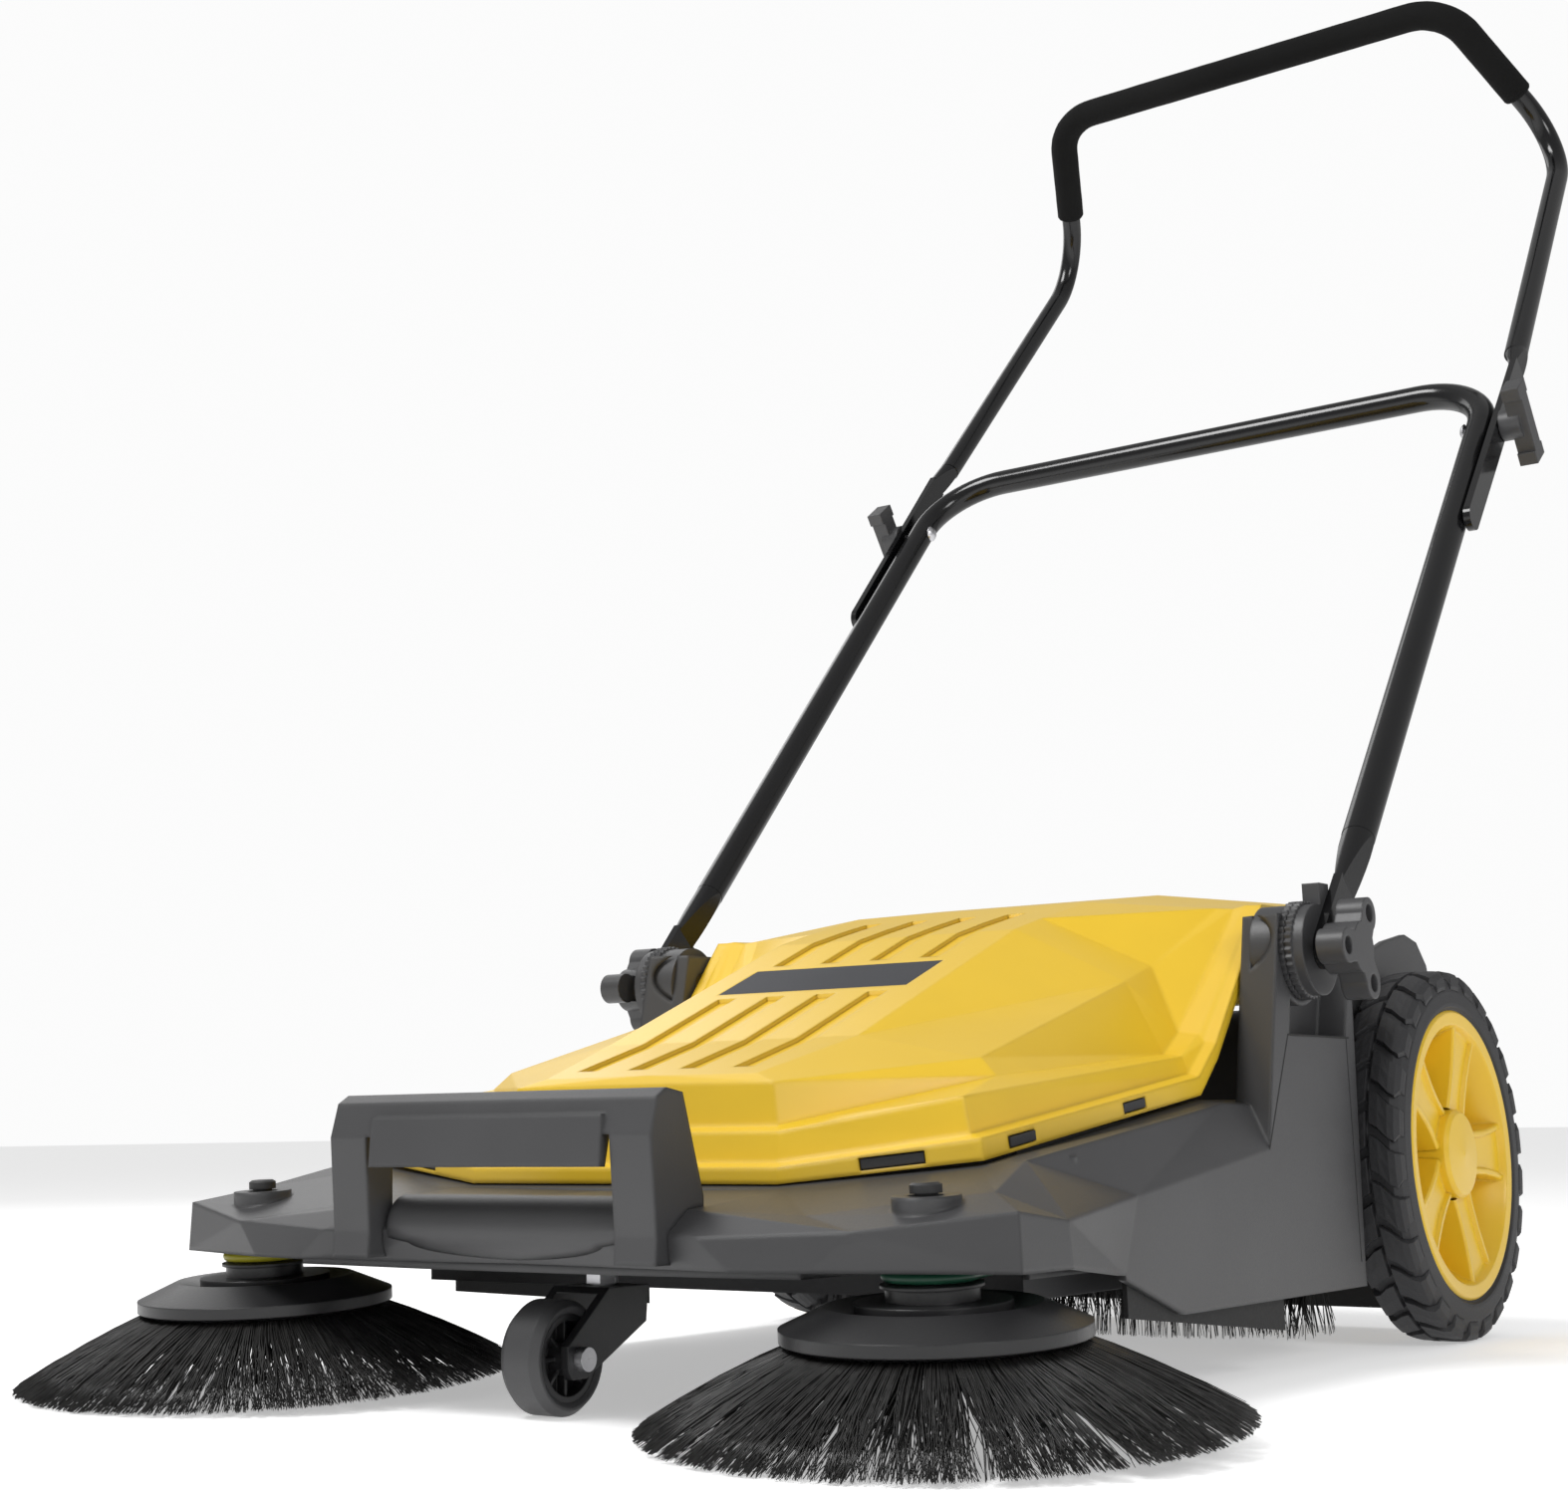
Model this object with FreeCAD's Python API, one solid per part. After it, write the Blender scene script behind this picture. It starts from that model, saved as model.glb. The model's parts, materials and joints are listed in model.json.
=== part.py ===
import FreeCAD, Part
import math
import os

# Walk-behind twin-brush push sweeper. Millimetres.
# Frame: origin on the floor, +Z up, -Y the front, +X the right-hand side.

V = FreeCAD.Vector
X_AXIS, Y_AXIS, Z_AXIS = V(1, 0, 0), V(0, 1, 0), V(0, 0, 1)
os.makedirs("parts", exist_ok=True)

# ---- driving dimensions -------------------------------------------------
WALL = 4.0                # moulded wall of the chassis and hopper lid
GAP = 0.35                # clearance between pieces that move past each other
FIT = 0.06                # radial clearance of a running fit
SEAT = 0.05               # clearance of a piece seated in its housing

PANEL_X = 215.0           # outer face of the side panels
DRAWN_X = 215.0           # panel face that the moulding rings are drawn for
WIDER = PANEL_X - DRAWN_X
LINER_X = PANEL_X - 30.0  # inner face of the chassis liner walls
LINER_T = 3.0             # thickness of the liner walls
REAR_Y = 478.0            # rear face of the chassis
HOPPER_REAR = 470.0       # rear face of the hopper lid
WING_X = PANEL_X + 34.0   # half width over the front wings
HOUSING_X = LINER_X + 9.0  # outer face of the rear housings, inside the wheels

WHEEL_R, WHEEL_W = 109.0, 36.0
WHEEL_X = HOUSING_X + 4.0  # inner side face of each rear wheel
RIM_R = WHEEL_R - 24.0
AXLE_Y, AXLE_R = 398.0, 8.0
AXLE_Z = WHEEL_R
SLEEVE_R = 14.0           # drive sleeve of each wheel, turning on the axle
GEAR_TEETH, PINION_TEETH = 36, 12
GEAR_R = 60.0
PINION_R = GEAR_R * PINION_TEETH / GEAR_TEETH
GEAR_W = 8.0
GEAR_X = LINER_X - 11.0   # inner face of the drive gears

ROLLER_R = GEAR_R + PINION_R - AXLE_R - 7.4    # the bristles clear the axle
ROLLER_CORE_R, ROLLER_SHAFT_R = 26.0, 7.0
ROLLER_HALF = LINER_X - 17.0
ROLLER_Z = ROLLER_R + 0.6  # the roller's tips just clear the floor
ROLLER_DROP = math.degrees(math.asin((AXLE_Z - ROLLER_Z) / (GEAR_R + PINION_R)))

BRUSH_X, BRUSH_Y, BRUSH_Z = PANEL_X - 14.0, -166.5, 45.2
BRUSH_TILT = 3.2          # the front edge of each side brush is lower
BRUSH_TIP_R, DISC_R = 131.0, 65.8
SPINDLE_R = 5.0
PULLEY_R, IDLER_R = 19.0, 8.0
BELT_R, BELT_SLACK = 2.6, 0.3
IDLER_PIN_R = 4.0
BELT_H = 23.5             # height of the belt above the brush disc
IDLER_Y = -48.0

CASTER_Y, CASTER_TRAIL = -137.0, 38.0
CASTER_R, CASTER_W = 26.3, 23.0
CASTER_BOLT_R, STEM_R = 4.0, 6.0

HINGE_Y, HINGE_Z = 212.0, 221.7
HINGE_R, HINGE_BOLT_R, BOLT_HEAD_R = 27.0, 4.0, 8.0
TUBE_LEAN = 43.6          # backward lean of the handle from upright
LOWER_R, UPPER_R = 9.5, 8.0
LOWER_X0, LOWER_X1 = PANEL_X + 15.3, PANEL_X + 8.6   # leg offset at the hinge and at the cross tube
LOWER_LEN = 581.0         # hinge to the axis of the cross tube
KNOB_AT = LOWER_LEN - 60.0   # hinge to the upper knob, along the leg
BLADE_T, BLADE_W = 5.0, 22.0
UPPER_BLADE_T, UPPER_BLADE_W = 4.5, 18.0
UPPER_TAIL = 110.0        # upper tube below its knob
ELBOW_X, ELBOW_BACK, ELBOW_UP = PANEL_X + 4.3, 291.9, 305.3   # from the upper knobs
GRIP_X, GRIP_BACK, GRIP_UP = PANEL_X - 45.8, 177.6, 401.4
UPPER_BEND, LOWER_BEND, GRIP_BEND = 50.0, 55.0, 42.0
GRIP_R = 11.5
GRIP_COVER = 97.0         # foam on each upright, measured from the grip corner


def write(name, shape):
    solids = shape.Solids
    if len(solids) == 1:
        shape = solids[0]
    shape.exportStep("parts/" + name + ".step")


def box(x0, x1, y0, y1, z0, z1):
    return Part.makeBox(x1 - x0, y1 - y0, z1 - z0, V(x0, y0, z0))


def cyl(r, a, b):
    return Part.makeCylinder(r, (b - a).Length, a, (b - a))


def cyl_x(r, x0, x1, y, z):
    return cyl(r, V(x0, y, z), V(x1, y, z))


def mirror_x(shape):
    return shape.mirror(V(0, 0, 0), X_AXIS)


def both(shape):
    return shape.fuse(mirror_x(shape))


def prism_x(points_yz, x0, x1):
    wire = Part.makePolygon([V(x0, y, z) for y, z in points_yz + points_yz[:1]])
    return Part.Face(wire).extrude(V(x1 - x0, 0, 0))


def prism_z(points_xy, z0, z1):
    wire = Part.makePolygon([V(x, y, z0) for x, y in points_xy + points_xy[:1]])
    return Part.Face(wire).extrude(V(0, 0, z1 - z0))


def turned(points_rh):
    """Solid of revolution about Z from (radius, height) points."""
    wire = Part.makePolygon([V(r, 0, h) for r, h in points_rh + points_rh[:1]])
    return Part.Face(wire).revolve(V(0, 0, 0), Z_AXIS, 360)


def place(shape, origin, tilt_x=0.0):
    out = shape.copy()
    out.rotate(V(0, 0, 0), X_AXIS, tilt_x)
    out.translate(origin)
    return out


def along_x(shape, x, y, z, outward=1):
    """Stand a Z-turned shape on its side with its top facing outward along X."""
    out = shape.copy()
    out.rotate(V(0, 0, 0), Y_AXIS, 90 * outward)
    out.translate(V(x, y, z))
    return out


def triangle(a, b, c):
    return Part.Face(Part.makePolygon([a, b, c, a]))


def faceted(rings):
    """Closed moulding from right-half rings, top to bottom, mirrored in x = 0.

    Each ring runs from its front centre point round the right side to its rear centre.
    """
    flip = lambda p: V(-p.x, p.y, p.z)
    faces = []
    for upper, lower in zip(rings, rings[1:]):
        for i in range(len(upper) - 1):
            a, b, c, d = upper[i], upper[i + 1], lower[i + 1], lower[i]
            for t in ((a, b, c), (a, c, d)):
                faces.append(triangle(*t))
                faces.append(triangle(*[flip(p) for p in t]))
    for ring in (rings[0], rings[-1]):
        for p, q in zip(ring, ring[1:]):
            if p.x == 0:
                faces.append(triangle(p, q, flip(q)))
            elif q.x == 0:
                faces.append(triangle(p, q, flip(p)))
            else:
                faces.append(Part.Face(Part.makePolygon([p, q, flip(q), flip(p), p])))
    shell = Part.makeShell(faces)
    shell.sewShape()
    solid = Part.makeSolid(shell)
    if solid.Volume < 0:
        solid.reverse()
    return solid


def points(rows):
    """Ring points, with those beyond the middle moved out with the side panels."""
    return [V(x + WIDER if x > DRAWN_X / 2 + 30 else x, y, z) for x, y, z in rows]


def inset(rings, wall, drop):
    """The same rings moved in by wall and down by drop, for the inside of a shell."""
    out = []
    for ring in rings:
        last = len(ring) - 1
        moved = []
        for i, p in enumerate(ring):
            dy = wall if i <= 1 else (-wall if i >= last - 1 else 0.0)
            moved.append(V(max(p.x - wall, 0.0) if p.x else 0.0, p.y + dy, p.z - drop))
        out.append(moved)
    return out


# ---- hopper lid: faceted yellow moulding in three steps -------------------
LID_RINGS = [
    points([(0, -100, 156.5), (66, -98, 156), (80, -28, 175), (80, 140, 238), (80, 172, 246),
            (80, 230, 259), (78, 330, 270), (76, 425, 262), (0, 425, 264)]),
    points([(0, -105, 152), (80, -105, 151.5), (150, -28, 162), (141, 150, 206), (140, 185, 216),
            (160, 232, 250), (166, 330, 258), (150, 440, 246), (0, 440, 248)]),
    points([(0, -108, 131), (84, -108, 131), (160, -32, 153), (163, 145, 166), (163, 165, 178),
            (170, 232, 249), (172, 330, 256), (154, 446, 238), (0, 446, 238)]),
    points([(0, -114, 128), (88, -114, 128), (174, -88, 143), (176, 140, 164), (176, 162, 176),
            (178, 231, 250.5), (180, 330, 254.5), (160, 452, 230), (0, 452, 230)]),
    points([(0, -117, 114), (90, -117, 114), (178, -90, 126), (180, 137, 155), (180, 160, 172),
            (183, 229.5, 250), (185, 330, 252.5), (166, 458, 222), (0, 458, 222)]),
    points([(0, -124, 111.5), (93.5, -124, 111.5), (186, -94, 124), (188, 134, 153), (188, 158, 171),
            (189, 228, 250), (190, 330, 251), (172, 464, 214), (0, 464, 214)]),
    points([(0, -124, 104), (94, -124, 104), (186.5, -94, 114), (188.5, 134, 143.5), (188.5, 158, 163),
            (189, 231, 244), (190, 330, 245), (172, HOPPER_REAR, 206), (0, HOPPER_REAR, 206)]),
]
LIP_FRONT, LIP_REAR = LID_RINGS[-1][2], LID_RINGS[-1][3]


def lip_z(y):
    """Height of the lid's lower edge on the straight part of its side."""
    t = (y - LIP_FRONT.y) / (LIP_REAR.y - LIP_FRONT.y)
    return LIP_FRONT.z + t * (LIP_REAR.z - LIP_FRONT.z)


def panel_z(y):
    """Height of the ribbed top panel of the lid at its border."""
    top = LID_RINGS[0]
    for p, q in zip(top[1:], top[2:]):
        if p.y <= y <= q.y:
            return p.z + (y - p.y) / (q.y - p.y) * (q.z - p.z)
    return top[-1].z


SNAP_H = 4.5
# Snap tabs on the right of the lip: x, y, heading of the lip face, slope, length.
SNAPS = ((146.0, -107.0, 18.0, 5.9, 30.0),
         (PANEL_X - 26.8, -58.0, 90.0, 7.4, 24.0),
         (PANEL_X - 26.7, 58.0, 90.0, 7.4, 24.0))
SNAP_RISE = 4.7           # middle of a tab above the lid's lower edge
SNAP_DEPTH = 24.0
INSERT_Y, INSERT_LEN, INSERT_HALF = 352.0, 62.0, 62.0    # grip recess in the lid's top
BADGE_Y, BADGE_LEN, BADGE_HALF, BADGE_T = 70.0, 40.0, 62.0, 1.45
VENT_PITCH, VENT_W, VENT_DEPTH, VENT_FIRST = 33.0, 12.0, 2.4, -50.0


def snap_z(x, y):
    """Height of the middle of a snap tab on the lip."""
    corner = LID_RINGS[-1][1]
    if x < LIP_FRONT.x - 5:
        along = (x - corner.x) / (LIP_FRONT.x - corner.x)
        return corner.z + along * (LIP_FRONT.z - corner.z) + SNAP_RISE
    return lip_z(y) + SNAP_RISE


def snap_box(snap, depth, proud, grow):
    """Block through the lip face, reaching depth inward and standing proud outward."""
    x, y, heading, slope, length = snap
    half, high = length / 2 + grow, SNAP_H / 2 + grow
    block = box(-half, half, -proud, depth, -high, high)
    block.rotate(V(0, 0, 0), Y_AXIS, -slope)
    block.rotate(V(0, 0, 0), Z_AXIS, heading)
    block.translate(V(x, y, snap_z(x, y)))
    return block


def panel_slab(y0, y1, half, above, below):
    """Slab following the sloping top panel between two y values."""
    ys = [y0] + [p.y for p in LID_RINGS[0][1:-1] if y0 < p.y < y1] + [y1]
    outline = [(y, panel_z(y) - below) for y in ys] + [(y, panel_z(y) + above) for y in reversed(ys)]
    return prism_x(outline, -half, half)


lid = faceted(LID_RINGS).cut(faceted(inset(LID_RINGS, WALL, WALL)))
for snap in SNAPS:
    lid = lid.cut(both(snap_box(snap, SNAP_DEPTH, 4, SEAT + 0.6)))
badge_seat = panel_slab(BADGE_Y - BADGE_LEN / 2, BADGE_Y + BADGE_LEN / 2, BADGE_HALF, 8, BADGE_T + SEAT)
lid = lid.cut(badge_seat)
for y0, y1 in ((-84.0, 42.0), (98.0, 200.0)):
    for n in range(4):
        groove = panel_slab(y0, y1, VENT_W / 2, 8, VENT_DEPTH)
        groove.translate(V(VENT_FIRST + VENT_PITCH * n, 0, 0))
        lid = lid.cut(groove)
insert_hole = box(-INSERT_HALF, INSERT_HALF, INSERT_Y, INSERT_Y + INSERT_LEN, 240, 290)
lid = lid.cut(insert_hole)
write("hopper_lid", lid)

badge = panel_slab(BADGE_Y - BADGE_LEN / 2 + SEAT, BADGE_Y + BADGE_LEN / 2 - SEAT,
                   BADGE_HALF - SEAT, 0, BADGE_T)
write("hopper_badge_plate", badge)

INSERT_LOW, INSERT_TOP, INSERT_T = 234.0, 268.0, 3.0
insert_end = INSERT_Y + INSERT_LEN
grip_cup = box(-INSERT_HALF + SEAT, INSERT_HALF - SEAT, INSERT_Y + SEAT, insert_end - SEAT,
               INSERT_LOW, INSERT_TOP)
grip_cup = grip_cup.cut(box(-INSERT_HALF + INSERT_T, INSERT_HALF - INSERT_T, INSERT_Y + INSERT_T,
                            insert_end - INSERT_T, INSERT_LOW + INSERT_T, INSERT_TOP + 30))
# the grip bar across the middle of the recess
grip_cup = grip_cup.fuse(box(-INSERT_HALF + 2, INSERT_HALF - 2, INSERT_Y + 22, INSERT_Y + 40,
                             INSERT_TOP - 10, INSERT_TOP))
write("hopper_grip_insert", grip_cup)

# ---- hopper pan: the dust tray below the lid ------------------------------
PAN_X = LINER_X - 1.3
PAN_FRONT, PAN_REAR, PAN_FLOOR, PAN_T = -58.0, 258.0, 50.0, 3.0
side_profile = [(PAN_FRONT, PAN_FLOOR), (PAN_REAR, PAN_FLOOR), (PAN_REAR, 96), (130, 140),
                (PAN_FRONT, lip_z(PAN_FRONT) - 0.2)]
pan = prism_x(side_profile, -PAN_X, PAN_X)
cavity_profile = [(PAN_FRONT + PAN_T, PAN_FLOOR + PAN_T), (PAN_REAR - PAN_T, PAN_FLOOR + PAN_T),
                  (PAN_REAR - PAN_T, 300), (PAN_FRONT + PAN_T, 300)]
pan = pan.cut(prism_x(cavity_profile, -PAN_X + PAN_T, PAN_X - PAN_T))
pan = pan.cut(box(-PAN_X + PAN_T, PAN_X - PAN_T, PAN_REAR - 10, PAN_REAR + 10, 70, 300))
shelf_x = LINER_X - 17
shelf_y = -112.5 + WALL
shelf = [(-82, shelf_y), (82, shelf_y), (shelf_x, -85), (shelf_x, PAN_FRONT + 4),
         (-shelf_x, PAN_FRONT + 4), (-shelf_x, -85)]
pan = pan.fuse(prism_z(shelf, 115.5, 118.4))
for snap in SNAPS:
    tab = snap_box(snap, SNAP_DEPTH - 2, -0.8, 0)
    if snap[0] > PAN_X:
        y, length = snap[1], snap[4]
        tab = tab.common(box(PAN_X - PAN_T, PANEL_X, y - length, y + length, 0, 300))
        tab = tab.fuse(box(PAN_X - PAN_T, snap[0] - WALL - 2.2, y - length / 4, y + length / 4,
                           lip_z(y) - 12, snap_z(snap[0], y) - 2))
    pan = pan.fuse(both(tab))
write("hopper_pan", pan.removeSplitter())

# ---- chassis: wings, side panels, posts, liner walls and rear wall ---------
PANEL_END = 278.0         # rear edge of the side panels, in front of the wheels
wing_x, housing_x = WING_X - WIDER, HOUSING_X - WIDER    # as drawn, before points() moves them
DECK_RINGS = [
    points([(0, -128, 101), (100, -128, 102), (120, -126, 102.5), (183, -92, 112), (184, -60, 116.5),
            (184, 134, 141.5), (184, PANEL_END - 6, 141.5), (184, PANEL_END + 6, 141.5),
            (184, REAR_Y - 10, 141.5), (0, REAR_Y - 10, 141.5)]),
    points([(0, -196, 99), (98, -198, 95), (150, -185, 92.5), (223, -150, 102), (210, -98, 114),
            (197, 140, 139), (197, PANEL_END - 2, 139), (housing_x - 2, PANEL_END + 4, 139),
            (housing_x - 2, REAR_Y - 4, 139), (0, REAR_Y - 4, 139)]),
    points([(0, -207, 86), (112, -214, 84), (184, -202, 87), (wing_x - 1, -176, 95), (wing_x - 1, -133, 90),
            (DRAWN_X, 0, 96), (DRAWN_X, PANEL_END, 131), (housing_x, PANEL_END + 5, 131),
            (housing_x, REAR_Y, 131), (0, REAR_Y, 131)]),
    points([(0, -200, 70), (130, -214, 70), (165, -208, 70), (wing_x, -177, 70), (wing_x, -133, 70),
            (DRAWN_X, -17, 60), (DRAWN_X, PANEL_END, 52), (housing_x, PANEL_END + 5, 60),
            (housing_x, REAR_Y, 60), (0, REAR_Y, 60)]),
]
outer = faceted(DECK_RINGS)
inner_rings = inset(DECK_RINGS, WALL, WALL)
inner_rings.append([V(p.x, p.y, p.z - 12) for p in inner_rings[-1]])
chassis = outer.cut(faceted(inner_rings))
deck_opening = prism_z([(-LINER_X, REAR_Y - WALL), (-LINER_X, -88), (-118, -112), (118, -112),
                        (LINER_X, -88), (LINER_X, REAR_Y - WALL)], 40, 200)
chassis = chassis.cut(deck_opening)

# lower side panels down to their stepped bottom edge
skirt = [(-17, 58), (44, 38.6), (PANEL_END, 38.6), (PANEL_END, 100), (-17, 90)]
chassis = chassis.fuse(both(prism_x(skirt, PANEL_X - WALL, PANEL_X)))

# hinge posts
post_in = [(HINGE_Y - 15, 241), (300, 241), (300, 60), (168, 60), (172, 138)]
post_out = [(HINGE_Y - 25, 241), (288, 241), (278, 60), (150, 60), (156, 115)]


def loft_x(a, xa, b, xb):
    wire_a = Part.makePolygon([V(xa, y, z) for y, z in a + a[:1]])
    wire_b = Part.makePolygon([V(xb, y, z) for y, z in b + b[:1]])
    return Part.makeLoft([wire_a, wire_b], True, True)


POST_X = LINER_X + 5.5
post = loft_x(post_in, POST_X, post_out, PANEL_X)
PLATE_X = POST_X + 7      # inner wall of the post pocket, which the fixed hinge hub stands on
pocket = prism_x([(192, 176), (272, 176), (276, 190), (300, 260), (212, 260)], PLATE_X, PANEL_X + 5)
pocket = pocket.cut(cyl_x(HINGE_R + 3, PLATE_X, PANEL_X + 5, HINGE_Y, HINGE_Z))
pocket = pocket.fuse(cyl_x(HINGE_R + SEAT, PLATE_X, PANEL_X + 5, HINGE_Y, HINGE_Z))
channel = prism_x([(140, 30), (284, 30), (284, 168), (184, 168), (180, 112), (140, 105)],
                  POST_X + WALL, PANEL_X - WALL)
chassis = chassis.fuse(both(post)).cut(both(pocket)).cut(both(channel))

# liner walls between the hopper and the belt channel, and the rear housings inside the wheels
liner = [(-60, 60), (300, 60), (300, 138), (134, 138), (-60, 112)]
chassis = chassis.fuse(both(prism_x(liner, LINER_X, LINER_X + LINER_T)))
housing = [(268, 40), (REAR_Y, 60), (REAR_Y, 200), (REAR_Y - 8, 226), (455, 240), (435, 244),
           (400, 238), (360, 226), (300, 226), (268, 150)]
housing_low = prism_x([(268, 40), (REAR_Y, 60), (REAR_Y, 135), (268, 135)], LINER_X, HOUSING_X)
housing_high = prism_x(housing, POST_X, HOUSING_X)
chassis = chassis.fuse(both(housing_low)).fuse(both(housing_high))
chassis = chassis.fuse(box(-HOUSING_X, HOUSING_X, REAR_Y - WALL, REAR_Y, 60, 203))

roller_y = AXLE_Y - (GEAR_R + PINION_R) * math.cos(math.radians(ROLLER_DROP))
roller_z = AXLE_Z - (GEAR_R + PINION_R) * math.sin(math.radians(ROLLER_DROP))
chassis = chassis.cut(both(cyl_x(SLEEVE_R + 2, LINER_X - 5, PANEL_X + 5, AXLE_Y, AXLE_Z)))
chassis = chassis.cut(both(cyl_x(ROLLER_SHAFT_R + FIT, LINER_X - 5, PANEL_X + 5, roller_y, roller_z)))
chassis = chassis.cut(both(cyl_x(HINGE_BOLT_R + SEAT, POST_X - 1, PANEL_X + 5, HINGE_Y, HINGE_Z)))
chassis = chassis.cut(both(cyl_x(BOLT_HEAD_R + SEAT, POST_X - 1, POST_X + 6 + SEAT, HINGE_Y, HINGE_Z)))

# bosses and holes for the brush spindles, screw recesses in the wings
tilt = math.radians(BRUSH_TILT)
axis_up = V(0, -math.sin(tilt), math.cos(tilt))
for side in (1, -1):
    foot = V(side * BRUSH_X, BRUSH_Y, BRUSH_Z)
    boss = cyl(15, foot + axis_up * 33, foot + axis_up * 56)
    hole = cyl(SPINDLE_R + FIT, foot + axis_up * 20, foot + axis_up * 70)
    recess = cyl(8, foot + axis_up * 55, foot + axis_up * 80)
    chassis = chassis.fuse(boss).cut(hole).cut(recess)
    pin_foot = foot + axis_up * BELT_H + V(0, (IDLER_Y - BRUSH_Y) * math.cos(tilt),
                                           (IDLER_Y - BRUSH_Y) * math.sin(tilt))
    pin_boss = cyl(9, pin_foot + axis_up * 24, pin_foot + axis_up * 40)
    chassis = chassis.fuse(pin_boss)
    chassis = chassis.cut(cyl(IDLER_PIN_R + SEAT, pin_foot - axis_up * 8, pin_foot + axis_up * 38))

# front floor plate that carries the caster, with its hole
PLATE_LOW, PLATE_TOP, STEM_BOSS_TOP = 66.0, 70.0, 82.0
plate = prism_z([(-150, -190), (-60, -198), (60, -198), (150, -190), (150, -118), (-150, -118)],
                PLATE_LOW, PLATE_TOP)
boss = Part.makeCylinder(14, STEM_BOSS_TOP - PLATE_LOW, V(0, CASTER_Y, PLATE_LOW))
chassis = chassis.fuse(plate).fuse(boss)
chassis = chassis.cut(Part.makeCylinder(STEM_R + FIT, 60, V(0, CASTER_Y, 40)))
write("chassis", chassis.removeSplitter())

# ---- carry handle at the nose ---------------------------------------------
BAR_TOP, BAR_FRONT, BAR_REAR = 148.0, -224.0, -200.0
LEG_OUT, LEG_IN = 97.0, 74.0
leg_outer = [(-222, 72), (-221, 84), (BAR_FRONT, 128), (-219, 144), (-212, BAR_TOP),
             (BAR_REAR, BAR_TOP - 2), (-186, 101), (-186, 72)]
carry = prism_x(leg_outer, LEG_IN, LEG_OUT)
carry = carry.cut(prism_x([(-205, 60), (-205, 130), (-180, 130), (-180, 60)], LEG_IN - 1, LEG_OUT - 5))
carry = both(carry)
bar_outline = [(BAR_FRONT, 128), (-219, 144), (-212, BAR_TOP), (BAR_REAR, BAR_TOP - 2), (BAR_REAR, 136),
               (-214, 136)]
carry = carry.fuse(prism_x(bar_outline, -LEG_IN - 1, LEG_IN + 1))
carry = carry.fuse(prism_x([(-226, 114), (-222, 114), (-216, 137), (-224, 137)], -70, 70))
carry = carry.cut(outer)
carry_solids = sorted(carry.Solids, key=lambda s: -s.Volume)
write("carry_handle", carry_solids[0])

# ---- nose bar: rounded bumper between the handle legs ----------------------
nose = cyl_x(15, -LEG_IN + 3, LEG_IN - 3, -197, 86)
nose = nose.cut(outer).cut(carry_solids[0])
write("nose_bar", sorted(nose.Solids, key=lambda s: -s.Volume)[0])

# ---- underside flap and rear dust skirt ------------------------------------
FLAP_T = 2.5
for name, side in (("side_flap_right", 1), ("side_flap_left", -1)):
    flap = prism_x([(-8, 40), (172, 22), (172, 58), (-8, 58)], PANEL_X - WALL - GAP - FLAP_T,
                   PANEL_X - WALL - GAP)
    write(name, flap if side > 0 else mirror_x(flap))
skirt_y = REAR_Y - WALL - GAP
write("rear_skirt", box(-LINER_X + 7, LINER_X - 7, skirt_y - FLAP_T, skirt_y, 12, 110))

# ---- rear axle and wheels ---------------------------------------------------
AXLE_END = WHEEL_X + WHEEL_W - 5.0
write("rear_axle", cyl_x(AXLE_R, -AXLE_END, AXLE_END, AXLE_Y, AXLE_Z))


def gear(teeth, pitch_r, width, bore):
    """Plain straight-sided spur gear standing on z = 0."""
    module = 2.0 * pitch_r / teeth
    root, tip = pitch_r - 1.05 * module, pitch_r + 0.8 * module
    pitch = 2 * math.pi / teeth
    outline = []
    for n in range(teeth):
        for radius, part in ((root, -0.34), (tip, -0.13), (tip, 0.13), (root, 0.34)):
            a = (n + part) * pitch
            outline.append((radius * math.cos(a), radius * math.sin(a)))
    return prism_z(outline, 0, width).cut(Part.makeCylinder(bore, width + 2, V(0, 0, -1)))


def wheel_tyre():
    half = WHEEL_W / 2
    outline = [(RIM_R + SEAT, -half + 2), (RIM_R + 6, -half), (WHEEL_R - 9, -half),
               (WHEEL_R - 1.5, -half + 7), (WHEEL_R, 0), (WHEEL_R - 1.5, half - 7), (WHEEL_R - 9, half),
               (RIM_R + 6, half), (RIM_R + SEAT, half - 2)]
    return turned(outline)


def wheel_rim():
    half = WHEEL_W / 2
    ring = turned([(RIM_R - 6, -half + 2), (RIM_R, -half + 2), (RIM_R, half - 2), (RIM_R - 3, half - 0.5),
                   (RIM_R - 9, half - 0.5), (RIM_R - 9, half - 8), (RIM_R - 6, half - 10)])
    hub = turned([(AXLE_R + FIT, -half), (24, -half), (24, half - 14), (20, half - 8),
                  (AXLE_R + FIT, half - 8)])
    rim = ring.fuse(hub)
    for n in range(5):
        spoke = Part.makeBox(RIM_R - 26, 22, 10, V(21, -11, half - 20))
        spoke.rotate(V(0, 0, 0), Z_AXIS, 90 + 72 * n)
        rim = rim.fuse(spoke)
    web = turned([(20, -half + 4), (RIM_R - 5, -half + 4), (RIM_R - 5, -half + 7), (20, -half + 7)])
    return rim.fuse(web).removeSplitter()


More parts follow.
